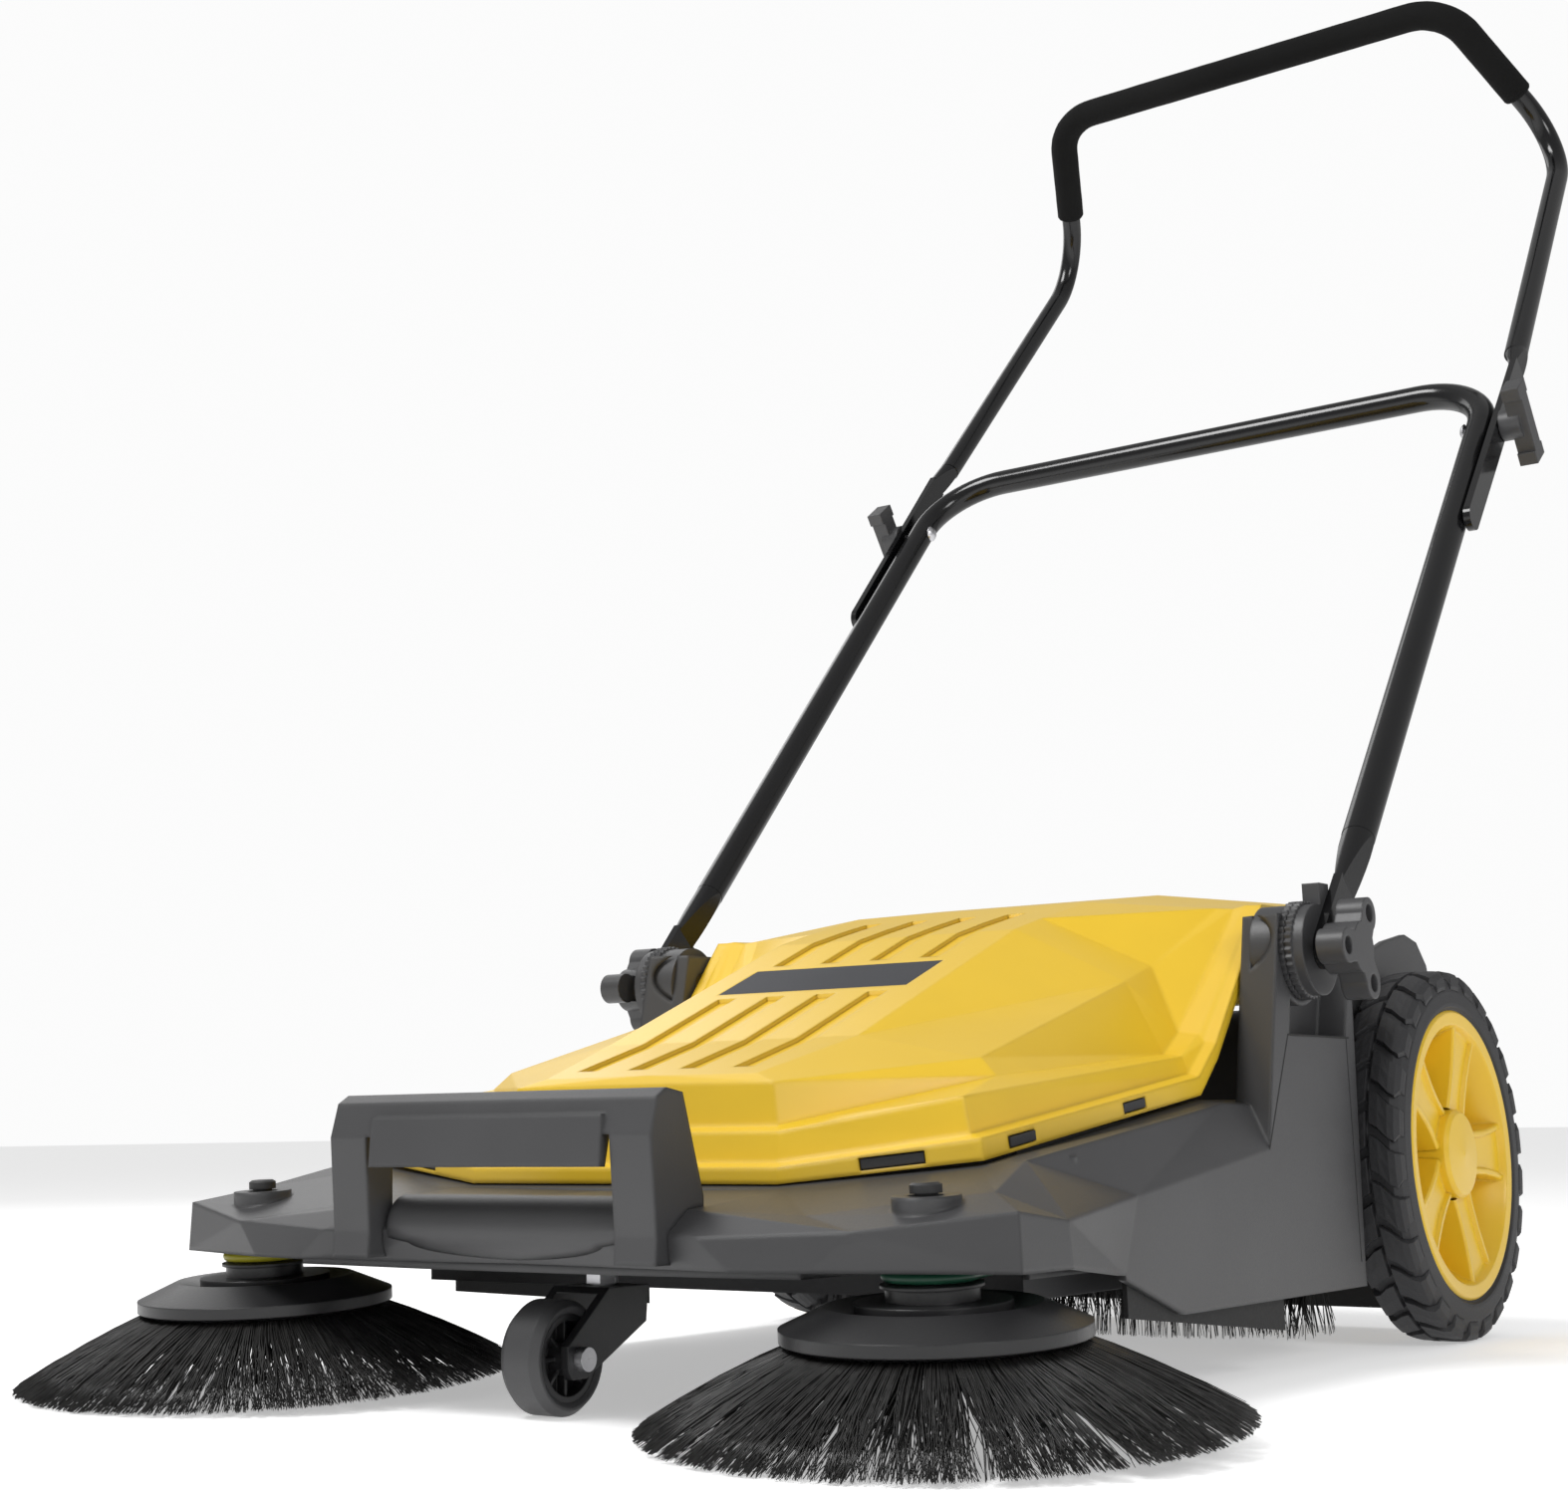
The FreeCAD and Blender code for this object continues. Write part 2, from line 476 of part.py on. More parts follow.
for name, side in (("right", 1), ("left", -1)):
    mid = side * (WHEEL_X + WHEEL_W / 2)
    write("wheel_tyre_" + name, along_x(wheel_tyre(), mid, AXLE_Y, AXLE_Z, side))
    write("wheel_rim_" + name, along_x(wheel_rim(), mid, AXLE_Y, AXLE_Z, side))
    cap = turned([(0, 0), (19, 0), (19, 3), (15, 7), (0, 8)])
    cap = cap.cut(Part.makeCylinder(AXLE_R + FIT, 4, V(0, 0, -0.5)))
    cap_x = side * (WHEEL_X + WHEEL_W - 8 + SEAT)
    write("wheel_cap_" + name, along_x(cap, cap_x, AXLE_Y, AXLE_Z, side))
    sleeve = turned([(AXLE_R + FIT, GEAR_W), (SLEEVE_R, GEAR_W), (SLEEVE_R, WHEEL_X - GEAR_X - SEAT),
                     (AXLE_R + FIT, WHEEL_X - GEAR_X - SEAT)])
    drive = gear(GEAR_TEETH, GEAR_R, GEAR_W, AXLE_R + FIT).fuse(sleeve)
    write("drive_gear_" + name, along_x(drive, side * GEAR_X, AXLE_Y, AXLE_Z, side))

# ---- main roller --------------------------------------------------------------
write("roller_shaft", cyl_x(ROLLER_SHAFT_R, -(LINER_X + 9), LINER_X + 9, roller_y, roller_z))
core = cyl_x(ROLLER_CORE_R, -ROLLER_HALF, ROLLER_HALF, roller_y, roller_z)
core = core.cut(cyl_x(ROLLER_SHAFT_R + SEAT, -ROLLER_HALF - 1, ROLLER_HALF + 1, roller_y, roller_z))
write("roller_core", core)
bristle_tube = cyl_x(ROLLER_R, -ROLLER_HALF + 2, ROLLER_HALF - 2, roller_y, roller_z)
bristle_tube = bristle_tube.cut(cyl_x(ROLLER_CORE_R + SEAT, -ROLLER_HALF, ROLLER_HALF, roller_y, roller_z))
write("roller_bristles", bristle_tube)
pinion = gear(PINION_TEETH, PINION_R, GEAR_W, ROLLER_SHAFT_R + SEAT)
# a gap of the pinion stands where the gear's tooth nearest the line of centres is
centre_angle = math.degrees(math.atan2(roller_y - AXLE_Y, AXLE_Z - roller_z))
gear_pitch = 360.0 / GEAR_TEETH
tooth_offset = round(centre_angle / gear_pitch) * gear_pitch - centre_angle
placed = pinion.copy()
placed.rotate(V(0, 0, 0), Z_AXIS,
              centre_angle + 180 - tooth_offset * GEAR_R / PINION_R - 180.0 / PINION_TEETH)
write("roller_pinion", along_x(placed, GEAR_X, roller_y, roller_z, 1))

# ---- side brushes ---------------------------------------------------------------
disc = turned([(SPINDLE_R + SEAT, -5), (58, -5), (DISC_R, -2), (DISC_R, 3.5), (46, 12), (40, 10.5),
               (34, 9), (SPINDLE_R + SEAT, 9)])
flange = turned([(SPINDLE_R + SEAT, 9.05), (33.5, 9.05), (33.5, 13), (SPINDLE_R + SEAT, 13)])
hub = turned([(SPINDLE_R + SEAT, 12), (20, 12), (20, 18.5), (SPINDLE_R + SEAT, 18.5)])
pulley = turned([(SPINDLE_R + SEAT, 18.55), (PULLEY_R + 3, 18.55), (PULLEY_R + 3, 20),
                 (PULLEY_R - BELT_R - 0.5, BELT_H - 1.6), (PULLEY_R - BELT_R - 0.5, BELT_H + 1.6),
                 (PULLEY_R + 3, 27), (PULLEY_R + 3, 28.5), (SPINDLE_R + SEAT, 28.5)])
spindle = turned([(0, -5), (SPINDLE_R, -5), (SPINDLE_R, 57), (7, 57), (7, 60.5), (5.5, 61.5),
                  (0, 61.5)])
bristle_cone = turned([(40, -5.05), (62, -5.05), (66, -4), (100, -18), (BRUSH_TIP_R, -34),
                       (BRUSH_TIP_R - 1, -37.4),
                       (118, -37.4), (84, -24), (40, -11)])
for name, side in (("right", 1), ("left", -1)):
    foot = V(side * BRUSH_X, BRUSH_Y, BRUSH_Z)
    write("brush_disc_" + name, place(disc, foot, BRUSH_TILT))
    write("brush_flange_" + name, place(flange.fuse(hub), foot, BRUSH_TILT))
    write("brush_pulley_" + name, place(pulley, foot, BRUSH_TILT))
    write("brush_spindle_" + name, place(spindle, foot, BRUSH_TILT))
    write("brush_bristles_" + name, place(bristle_cone, foot, BRUSH_TILT))

# ---- belts and their rear idlers --------------------------------------------------
belt_span = IDLER_Y - BRUSH_Y


def belt_loop(big, small, span, thick):
    """Round belt in the z = 0 plane about pulleys at the origin and at (0, span)."""
    sin_a = (big - small) / span
    a = math.asin(sin_a)
    on_big = V(big * math.cos(a), big * sin_a, 0)
    on_small = V(small * math.cos(a), span + small * sin_a, 0)
    left_big, left_small = V(-on_big.x, on_big.y, 0), V(-on_small.x, on_small.y, 0)
    path = Part.Wire([
        Part.makeLine(on_big, on_small),
        Part.Arc(on_small, V(0, span + small, 0), left_small).toShape(),
        Part.makeLine(left_small, left_big),
        Part.Arc(left_big, V(0, -big, 0), on_big).toShape()])
    start = Part.Wire(Part.makeCircle(thick, on_big, on_small - on_big))
    return path.makePipeShell([start], True, True)


idler = turned([(IDLER_PIN_R + FIT, -5), (IDLER_R + 1.2, -5), (IDLER_R - BELT_R - 0.5, -1.6),
                (IDLER_R - BELT_R - 0.5, 1.6), (IDLER_R + 1.2, 5), (IDLER_PIN_R + FIT, 5)])
idler_pin = turned([(0, -7), (IDLER_PIN_R, -7), (IDLER_PIN_R, 37.5), (0, 37.5)])
for name, side in (("right", 1), ("left", -1)):
    foot = V(side * BRUSH_X, BRUSH_Y, BRUSH_Z) + axis_up * BELT_H
    belt = belt_loop(PULLEY_R, IDLER_R, belt_span, BELT_R - BELT_SLACK)
    belt.rotate(V(0, 0, 0), X_AXIS, BRUSH_TILT)
    belt.translate(foot)
    write("belt_" + name, belt)
    rear = foot + V(0, belt_span * math.cos(tilt), belt_span * math.sin(tilt))
    write("belt_idler_" + name, place(idler, rear, BRUSH_TILT))
    write("idler_pin_" + name, place(idler_pin, rear, BRUSH_TILT))

# ---- front caster --------------------------------------------------------------------
wheel_y = CASTER_Y - CASTER_TRAIL
FORK_IN, FORK_T, FORK_TOP = CASTER_W / 2 + 1.0, 4.5, 57.0
# the stem stands on the fork's top plate
stem = Part.makeCylinder(STEM_R, STEM_BOSS_TOP + 8 - FORK_TOP, V(0, 0, FORK_TOP))
stem = stem.fuse(Part.makeCylinder(9.5, 5, V(0, 0, STEM_BOSS_TOP + 0.5)))
stem.translate(V(0, CASTER_Y, 0))
write("caster_stem", stem)
NUT_R = 8.1
hexagon = [(NUT_R * math.cos(math.radians(60 * n)), NUT_R * math.sin(math.radians(60 * n)))
           for n in range(6)]
nut = prism_z(hexagon, FORK_TOP + 0.6, PLATE_LOW - 0.4)
nut = nut.cut(Part.makeCylinder(STEM_R + SEAT, 20, V(0, 0, FORK_TOP - 5)))
nut.translate(V(0, CASTER_Y, 0))
write("caster_nut", nut)
arm_outline = [(wheel_y - 9, CASTER_R - 4), (wheel_y - 6, CASTER_R - 9), (wheel_y + 4, CASTER_R - 9),
               (CASTER_Y + 12, 40), (CASTER_Y + 14, FORK_TOP), (CASTER_Y - 16, FORK_TOP),
               (wheel_y - 9, CASTER_R + 6)]
fork = prism_x(arm_outline, -FORK_IN - FORK_T, FORK_IN + FORK_T)
fork = fork.cut(prism_x([(wheel_y - 60, -10), (CASTER_Y + 40, -10), (CASTER_Y + 40, FORK_TOP - 3),
                         (wheel_y - 60, FORK_TOP - 3)], -FORK_IN, FORK_IN))
fork = fork.cut(Part.makeCylinder(STEM_R + SEAT, 40, V(0, CASTER_Y, 40)))
fork = fork.cut(cyl_x(CASTER_BOLT_R + SEAT, -40, 40, wheel_y, CASTER_R))
write("caster_fork", fork)
bolt = cyl_x(CASTER_BOLT_R, -FORK_IN - FORK_T - 4, FORK_IN + FORK_T + 1, wheel_y, CASTER_R)
bolt = bolt.fuse(both(cyl_x(5.5, FORK_IN + FORK_T + SEAT, FORK_IN + FORK_T + 5, wheel_y, CASTER_R)))
write("caster_bolt", bolt)
CORE_R = 20.0
caster_core = turned([(CASTER_BOLT_R + FIT, -FORK_IN + 0.5), (8, -FORK_IN + 0.5), (8, -3),
                      (CORE_R, -3), (CORE_R, 3), (8, 3), (8, FORK_IN - 0.5),
                      (CASTER_BOLT_R + FIT, FORK_IN - 0.5)])
caster_core = caster_core.fuse(turned([(CORE_R - 3, -10), (CORE_R, -10), (CORE_R, 10), (CORE_R - 3, 10)]))
for n in range(8):
    rib = Part.makeBox(CORE_R - 8, 1.6, 16, V(7, -0.8, -8))
    rib.rotate(V(0, 0, 0), Z_AXIS, 45 * n)
    caster_core = caster_core.fuse(rib)
write("caster_wheel_core", along_x(caster_core.removeSplitter(), 0, wheel_y, CASTER_R, 1))
half_w = CASTER_W / 2
tyre = turned([(CORE_R + SEAT, -half_w + 1.5), (CORE_R + 2, -half_w), (CASTER_R - 3, -half_w),
               (CASTER_R, -half_w + 4), (CASTER_R, half_w - 4), (CASTER_R - 3, half_w), (CORE_R + 2, half_w),
               (CORE_R + SEAT, half_w - 1.5)])
write("caster_tyre", along_x(tyre, 0, wheel_y, CASTER_R, 1))

# ---- handle hinges ----------------------------------------------------------------------
TEETH_X = PANEL_X + 2.5                    # serrated joint between the two hubs
HUB_OUT = LOWER_X0 - BLADE_T / 2 - SEAT
KNOB_IN = LOWER_X0 + BLADE_T / 2 + GAP
KNOB_H = 19.0


def star_knob():
    """Three-lobed knob standing on z = 0, with a pocket in each lobe."""
    body = Part.makeCylinder(14, KNOB_H)
    for n in range(3):
        lobe = Part.makeCylinder(9.5, 15, V(21, 0, 4)).fuse(Part.makeBox(21, 17, 15, V(0, -8.5, 4)))
        lobe = lobe.cut(Part.makeCylinder(5, 12, V(22, 0, 10)))
        lobe.rotate(V(0, 0, 0), Z_AXIS, 30 + 120 * n)
        body = body.fuse(lobe)
    return body.cut(Part.makeCylinder(HINGE_BOLT_R + FIT, 15, V(0, 0, -1))).removeSplitter()


def serrated_hub(width, bore, teeth_out):
    """Round hub with a ring of radial teeth on its outer rim."""
    ring_w = 4
    hub_body = Part.makeCylinder(HINGE_R - 2, width)
    ring_z = width - ring_w if teeth_out else 0
    outline = []
    count = 40
    for n in range(count):
        for radius, part in ((HINGE_R - 1.6, -0.25), (HINGE_R, 0.25)):
            a = (n + part) * 2 * math.pi / count
            outline.append((radius * math.cos(a), radius * math.sin(a)))
    hub_body = hub_body.fuse(prism_z(outline, ring_z, ring_z + ring_w))
    return hub_body.cut(Part.makeCylinder(bore, width + 2, V(0, 0, -1)))


lean = math.radians(TUBE_LEAN)
up_leg = V(0, math.sin(lean), math.cos(lean))
for name, side in (("right", 1), ("left", -1)):
    fixed = serrated_hub(TEETH_X - PLATE_X - SEAT, HINGE_BOLT_R + SEAT, True)
    write("hinge_base_" + name, along_x(fixed, side * (PLATE_X + SEAT / 2), HINGE_Y, HINGE_Z, side))
    moving = serrated_hub(HUB_OUT - TEETH_X - GAP, HINGE_BOLT_R + FIT, False)
    lug = Part.makeBox(22, 13, HUB_OUT - TEETH_X - GAP, V(15, -17, 0))
    lug.rotate(V(0, 0, 0), Z_AXIS, 180)
    write("hinge_hub_" + name,
          along_x(moving.fuse(lug), side * (TEETH_X + GAP), HINGE_Y, HINGE_Z, side))
    hinge_bolt = Part.makeCylinder(HINGE_BOLT_R, KNOB_IN + 13 - POST_X - 1)
    hinge_bolt = hinge_bolt.fuse(Part.makeCylinder(BOLT_HEAD_R, 5))
    write("hinge_bolt_" + name, along_x(hinge_bolt, side * (POST_X + 1), HINGE_Y, HINGE_Z, side))
    write("hinge_knob_" + name, along_x(star_knob(), side * KNOB_IN, HINGE_Y, HINGE_Z, side))

# ---- tubes ---------------------------------------------------------------------------------


def bent_tube(route, bends, radius):
    """Tube along straight runs joined by tangent arcs."""
    edges = []
    start = route[0]
    for i in range(1, len(route) - 1):
        before = (route[i - 1] - route[i]).normalize()
        after = (route[i + 1] - route[i]).normalize()
        half = before.getAngle(after) / 2
        cut = bends[i - 1] / math.tan(half)
        a, b = route[i] + before * cut, route[i] + after * cut
        bisector = (before + after).normalize()
        centre = route[i] + bisector * (bends[i - 1] / math.sin(half))
        edges.append(Part.makeLine(start, a))
        edges.append(Part.Arc(a, centre - bisector * bends[i - 1], b).toShape())
        start = b
    edges.append(Part.makeLine(start, route[-1]))
    first = (route[1] - route[0]).normalize()
    profile = Part.Wire(Part.makeCircle(radius, route[0], first))
    return Part.Wire(edges).makePipeShell([profile], True, True)


def flattened(start, direction, length, radius, thick):
    """Round tube pressed flat towards its start: thick there, round after length."""
    tube = cyl(radius, start, start + direction * length)
    across = direction.cross(X_AXIS).normalize()
    end = start + direction * length
    corners = [start - X_AXIS * (thick / 2), start + X_AXIS * (thick / 2),
               end + X_AXIS * (radius + 0.5), end - X_AXIS * (radius + 0.5)]
    corners = [p - across * (radius + 2) for p in corners]
    wedge = Part.Face(Part.makePolygon(corners + corners[:1])).extrude(across * (2 * radius + 4))
    return tube.common(wedge)


def flat_strip(origin, direction, x_mid, thick, width, s0, s1, round_end=False):
    """Flat blade lying in a plane of constant x, from s0 to s1 along a leg."""
    side = direction.cross(X_AXIS)
    near, far, half = origin + direction * s0, origin + direction * s1, side * (width / 2)
    corners = [near - half, far - half, far + half, near + half]
    flat = [V(x_mid - thick / 2, p.y, p.z) for p in corners]
    blade = Part.Face(Part.makePolygon(flat + flat[:1])).extrude(V(thick, 0, 0))
    if round_end:
        blade = blade.fuse(cyl_x(width / 2, x_mid - thick / 2, x_mid + thick / 2, near.y, near.z))
    return blade


hinge = V(0, HINGE_Y, HINGE_Z)


def leg_point(s):
    """Centre of the right lower leg, s above the hinge."""
    x = LOWER_X0 + (LOWER_X1 - LOWER_X0) * s / LOWER_LEN
    return V(x, HINGE_Y, HINGE_Z) + up_leg * s


FLAT_END, ROUND_START = 46.0, 92.0
right_start, right_corner = leg_point(ROUND_START), leg_point(LOWER_LEN)
mirror_point = lambda p: V(-p.x, p.y, p.z)
lower = bent_tube([right_start, right_corner, mirror_point(right_corner), mirror_point(right_start)],
                  [LOWER_BEND, LOWER_BEND], LOWER_R)
flat_foot = V(LOWER_X0, leg_point(FLAT_END).y, leg_point(FLAT_END).z)
taper_dir = leg_point(ROUND_START + 3) - flat_foot
taper = flattened(flat_foot, V(taper_dir).normalize(), taper_dir.Length, LOWER_R - 0.2, BLADE_T - 0.6)
blade = flat_strip(hinge, up_leg, LOWER_X0, BLADE_T, BLADE_W, 0, FLAT_END + 4, True)
blade = blade.cut(cyl_x(HINGE_BOLT_R + FIT, LOWER_X0 - 20, LOWER_X0 + 20, HINGE_Y, HINGE_Z))
lower = lower.fuse(both(taper.fuse(blade)))

knob_point = leg_point(KNOB_AT)
elbow = V(ELBOW_X, knob_point.y + ELBOW_BACK, knob_point.z + ELBOW_UP)
grip = V(GRIP_X, knob_point.y + GRIP_BACK, knob_point.z + GRIP_UP)
SIDE_BOLT_R = 3.0
bolt_way = cyl_x(SIDE_BOLT_R + SEAT, knob_point.x - 30, knob_point.x + 30, knob_point.y, knob_point.z)
lower = lower.cut(both(bolt_way))
write("handle_lower", lower)

# upper handle: flattened lower ends outside the lower tube, then round to the grip
tail_x = leg_point(KNOB_AT - UPPER_TAIL - UPPER_BLADE_W / 2).x
blade_x = tail_x + LOWER_R + GAP + UPPER_BLADE_T / 2
knob_centre = V(blade_x, knob_point.y, knob_point.z)
FLAT_TO, ROUND_FROM = 76.0, 96.0
to_elbow = (elbow - knob_centre).normalize()
upper_start = knob_centre + to_elbow * ROUND_FROM
upper = bent_tube([upper_start, elbow, grip, mirror_point(grip), mirror_point(elbow),
                   mirror_point(upper_start)],
                  [UPPER_BEND, GRIP_BEND, GRIP_BEND, UPPER_BEND], UPPER_R)
flat_dir = V(0, to_elbow.y, to_elbow.z).normalize()
strip = flat_strip(knob_centre, flat_dir, blade_x, UPPER_BLADE_T, UPPER_BLADE_W,
                   -UPPER_TAIL, FLAT_TO, True)
flat_top = knob_centre + flat_dir * (FLAT_TO - 3)
cone_dir = knob_centre + to_elbow * (ROUND_FROM + 3) - flat_top
cone = flattened(flat_top, V(cone_dir).normalize(), cone_dir.Length, UPPER_R - 0.2, UPPER_BLADE_T - 0.6)
strip = strip.cut(cyl_x(SIDE_BOLT_R + FIT, blade_x - 20, blade_x + 20, knob_point.y, knob_point.z))
upper = upper.fuse(both(strip.fuse(cone)))
write("handle_upper", upper)

# foam sleeve round the grip, its corners and part of the uprights
upright = (elbow - grip).normalize()
foam_end = grip + upright * GRIP_COVER
foam_route = [foam_end, grip, mirror_point(grip), mirror_point(foam_end)]
foam = bent_tube(foam_route, [GRIP_BEND, GRIP_BEND], GRIP_R)
bore_end = grip + upright * (GRIP_COVER + 2)
foam = foam.cut(bent_tube([bore_end, grip, mirror_point(grip), mirror_point(bore_end)],
                          [GRIP_BEND, GRIP_BEND], UPPER_R + SEAT))
write("foam_grip", foam)

# ---- upper clamp knobs and their carriage bolts ------------------------------------------------
CLAMP_IN = blade_x + UPPER_BLADE_T / 2 + GAP


def wing_knob():
    """Blocky two-winged knob standing on z = 0."""
    body = Part.makeCylinder(11, 14)
    for n in range(2):
        wing = Part.makeBox(27, 15, 12, V(0, -7.5, 7))
        wing = wing.fuse(Part.makeBox(9, 20, 12, V(19, -10, 7)))
        wing.rotate(V(0, 0, 0), Z_AXIS, 180 * n)
        body = body.fuse(wing)
    return body.cut(Part.makeCylinder(SIDE_BOLT_R + FIT, 13, V(0, 0, -1))).removeSplitter()


for name, side in (("right", 1), ("left", -1)):
    x_in = knob_point.x - LOWER_R - 2.5
    shank = cyl_x(SIDE_BOLT_R, x_in, CLAMP_IN + 11, knob_point.y, knob_point.z)
    dome = Part.makeSphere(7, V(knob_point.x - LOWER_R + 3.2, knob_point.y, knob_point.z))
    dome = dome.common(box(x_in - 9, knob_point.x - LOWER_R - 0.2, knob_point.y - 9,
                           knob_point.y + 9, knob_point.z - 9, knob_point.z + 9))
    clamp_bolt = shank.fuse(dome)
    write("clamp_bolt_" + name, clamp_bolt if side > 0 else mirror_x(clamp_bolt))
    turned_knob = wing_knob()
    turned_knob.rotate(V(0, 0, 0), Z_AXIS, 35 * side)
    write("clamp_knob_" + name, along_x(turned_knob, side * CLAMP_IN, knob_point.y, knob_point.z, side))
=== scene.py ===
import bpy
import json
import math
import random
from mathutils import Matrix, Vector


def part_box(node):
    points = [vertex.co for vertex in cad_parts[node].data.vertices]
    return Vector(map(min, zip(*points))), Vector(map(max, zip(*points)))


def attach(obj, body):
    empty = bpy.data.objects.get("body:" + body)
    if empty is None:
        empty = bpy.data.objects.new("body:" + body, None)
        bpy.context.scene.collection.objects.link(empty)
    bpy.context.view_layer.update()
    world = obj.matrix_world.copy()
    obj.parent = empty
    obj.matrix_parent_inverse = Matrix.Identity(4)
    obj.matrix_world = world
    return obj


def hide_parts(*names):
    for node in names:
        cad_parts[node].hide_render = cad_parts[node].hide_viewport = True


# Walk-behind twin-brush sweeper: materials, brushes, tyres, rims and foam over the CAD frame.
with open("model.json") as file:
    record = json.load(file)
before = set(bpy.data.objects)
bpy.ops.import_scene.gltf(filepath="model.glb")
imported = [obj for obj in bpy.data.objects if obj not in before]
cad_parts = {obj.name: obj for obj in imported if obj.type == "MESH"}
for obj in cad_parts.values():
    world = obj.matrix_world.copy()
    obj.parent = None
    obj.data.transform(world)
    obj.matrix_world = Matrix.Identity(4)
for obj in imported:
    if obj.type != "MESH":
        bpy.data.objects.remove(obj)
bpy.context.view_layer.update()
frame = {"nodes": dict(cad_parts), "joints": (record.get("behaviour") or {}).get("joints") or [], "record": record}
MM = 0.001
joints = {j["name"]: j for j in frame["joints"]}
scene = bpy.context.scene


# ---- mesh helpers -----------------------------------------------------------
def mesh_object(name, verts, faces, smooth=True):
    mesh = bpy.data.meshes.new(name)
    mesh.from_pydata([tuple(v) for v in verts], [], faces)
    mesh.validate()
    mesh.update()
    if smooth:
        mesh.shade_smooth()
    obj = bpy.data.objects.new(name, mesh)
    scene.collection.objects.link(obj)
    return obj


def finish_piece(obj, body, material, replaced=()):
    obj.data.materials.append(material)
    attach(obj, body)
    if replaced:
        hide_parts(*replaced)


def axis_frame(origin, axis, side_hint):
    """Matrix whose Z is axis, placed at origin, in metres."""
    z = Vector(axis).normalized()
    x = (Vector(side_hint) - z * z.dot(Vector(side_hint))).normalized()
    y = z.cross(x)
    m = Matrix.Identity(4)
    for row in range(3):
        m[row][0], m[row][1], m[row][2], m[row][3] = x[row], y[row], z[row], origin[row]
    return m


class Builder:
    """Collects vertices and faces for one mesh."""

    def __init__(self):
        self.verts, self.faces = [], []

    def grid(self, rows, closed_u=False, closed_v=False):
        """Quads over rows of points; u runs along a row, v from row to row."""
        base, n, m = len(self.verts), len(rows[0]), len(rows)
        for row in rows:
            self.verts.extend(row)
        for j in range(m if closed_v else m - 1):
            for i in range(n if closed_u else n - 1):
                a, b = base + j * n + i, base + j * n + (i + 1) % n
                c = base + ((j + 1) % m) * n + (i + 1) % n
                d = base + ((j + 1) % m) * n + i
                self.faces.append((a, b, c, d))

    def lathe(self, profile, steps):
        """Surface of revolution about local Z from (radius, height) points."""
        rows = []
        for s in range(steps):
            a = 2 * math.pi * s / steps
            rows.append([Vector((r * math.cos(a), r * math.sin(a), h)) for r, h in profile])
        self.grid(rows, closed_v=True)

    def block(self, corners_low, corners_high):
        """Closed block between two four-point loops."""
        base = len(self.verts)
        self.verts.extend(list(corners_low) + list(corners_high))
        self.faces.append((base + 3, base + 2, base + 1, base))
        self.faces.append((base + 4, base + 5, base + 6, base + 7))
        for i in range(4):
            j = (i + 1) % 4
            self.faces.append((base + i, base + j, base + 4 + j, base + 4 + i))

    def strand(self, points, radius, tip=0.35):
        """Three-sided bristle along points; tip is its end radius as a share of radius."""
        base, last = len(self.verts), len(points) - 1
        for k, p in enumerate(points):
            ahead = points[min(k + 1, last)] - points[max(k - 1, 0)]
            u = ahead.orthogonal().normalized()
            w = ahead.normalized().cross(u)
            r = radius * (1 - (1 - tip) * k / last)
            for s in range(3):
                a = 2.0944 * s
                self.verts.append(p + u * (r * math.cos(a)) + w * (r * math.sin(a)))
        for k in range(last):
            for s in range(3):
                a, b = base + 3 * k + s, base + 3 * k + (s + 1) % 3
                self.faces.append((a, b, b + 3, a + 3))
        end = base + 3 * last
        self.faces.append((end, end + 1, end + 2))

    def moved(self, matrix):
        return [matrix @ v for v in self.verts]


# ---- materials ----------------------------------------------------------------
def node(tree, kind, **inputs):
    made = tree.nodes.new(kind)
    for key, value in inputs.items():
        made.inputs[key.replace("_", " ")].default_value = value
    return made


GRAIN_DEPTH = 0.6 * MM        # height of the fine grain in the bump
COAT_ROUGH = 0.18
MOTTLE_FROM, MOTTLE_TO = 0.35, 0.65


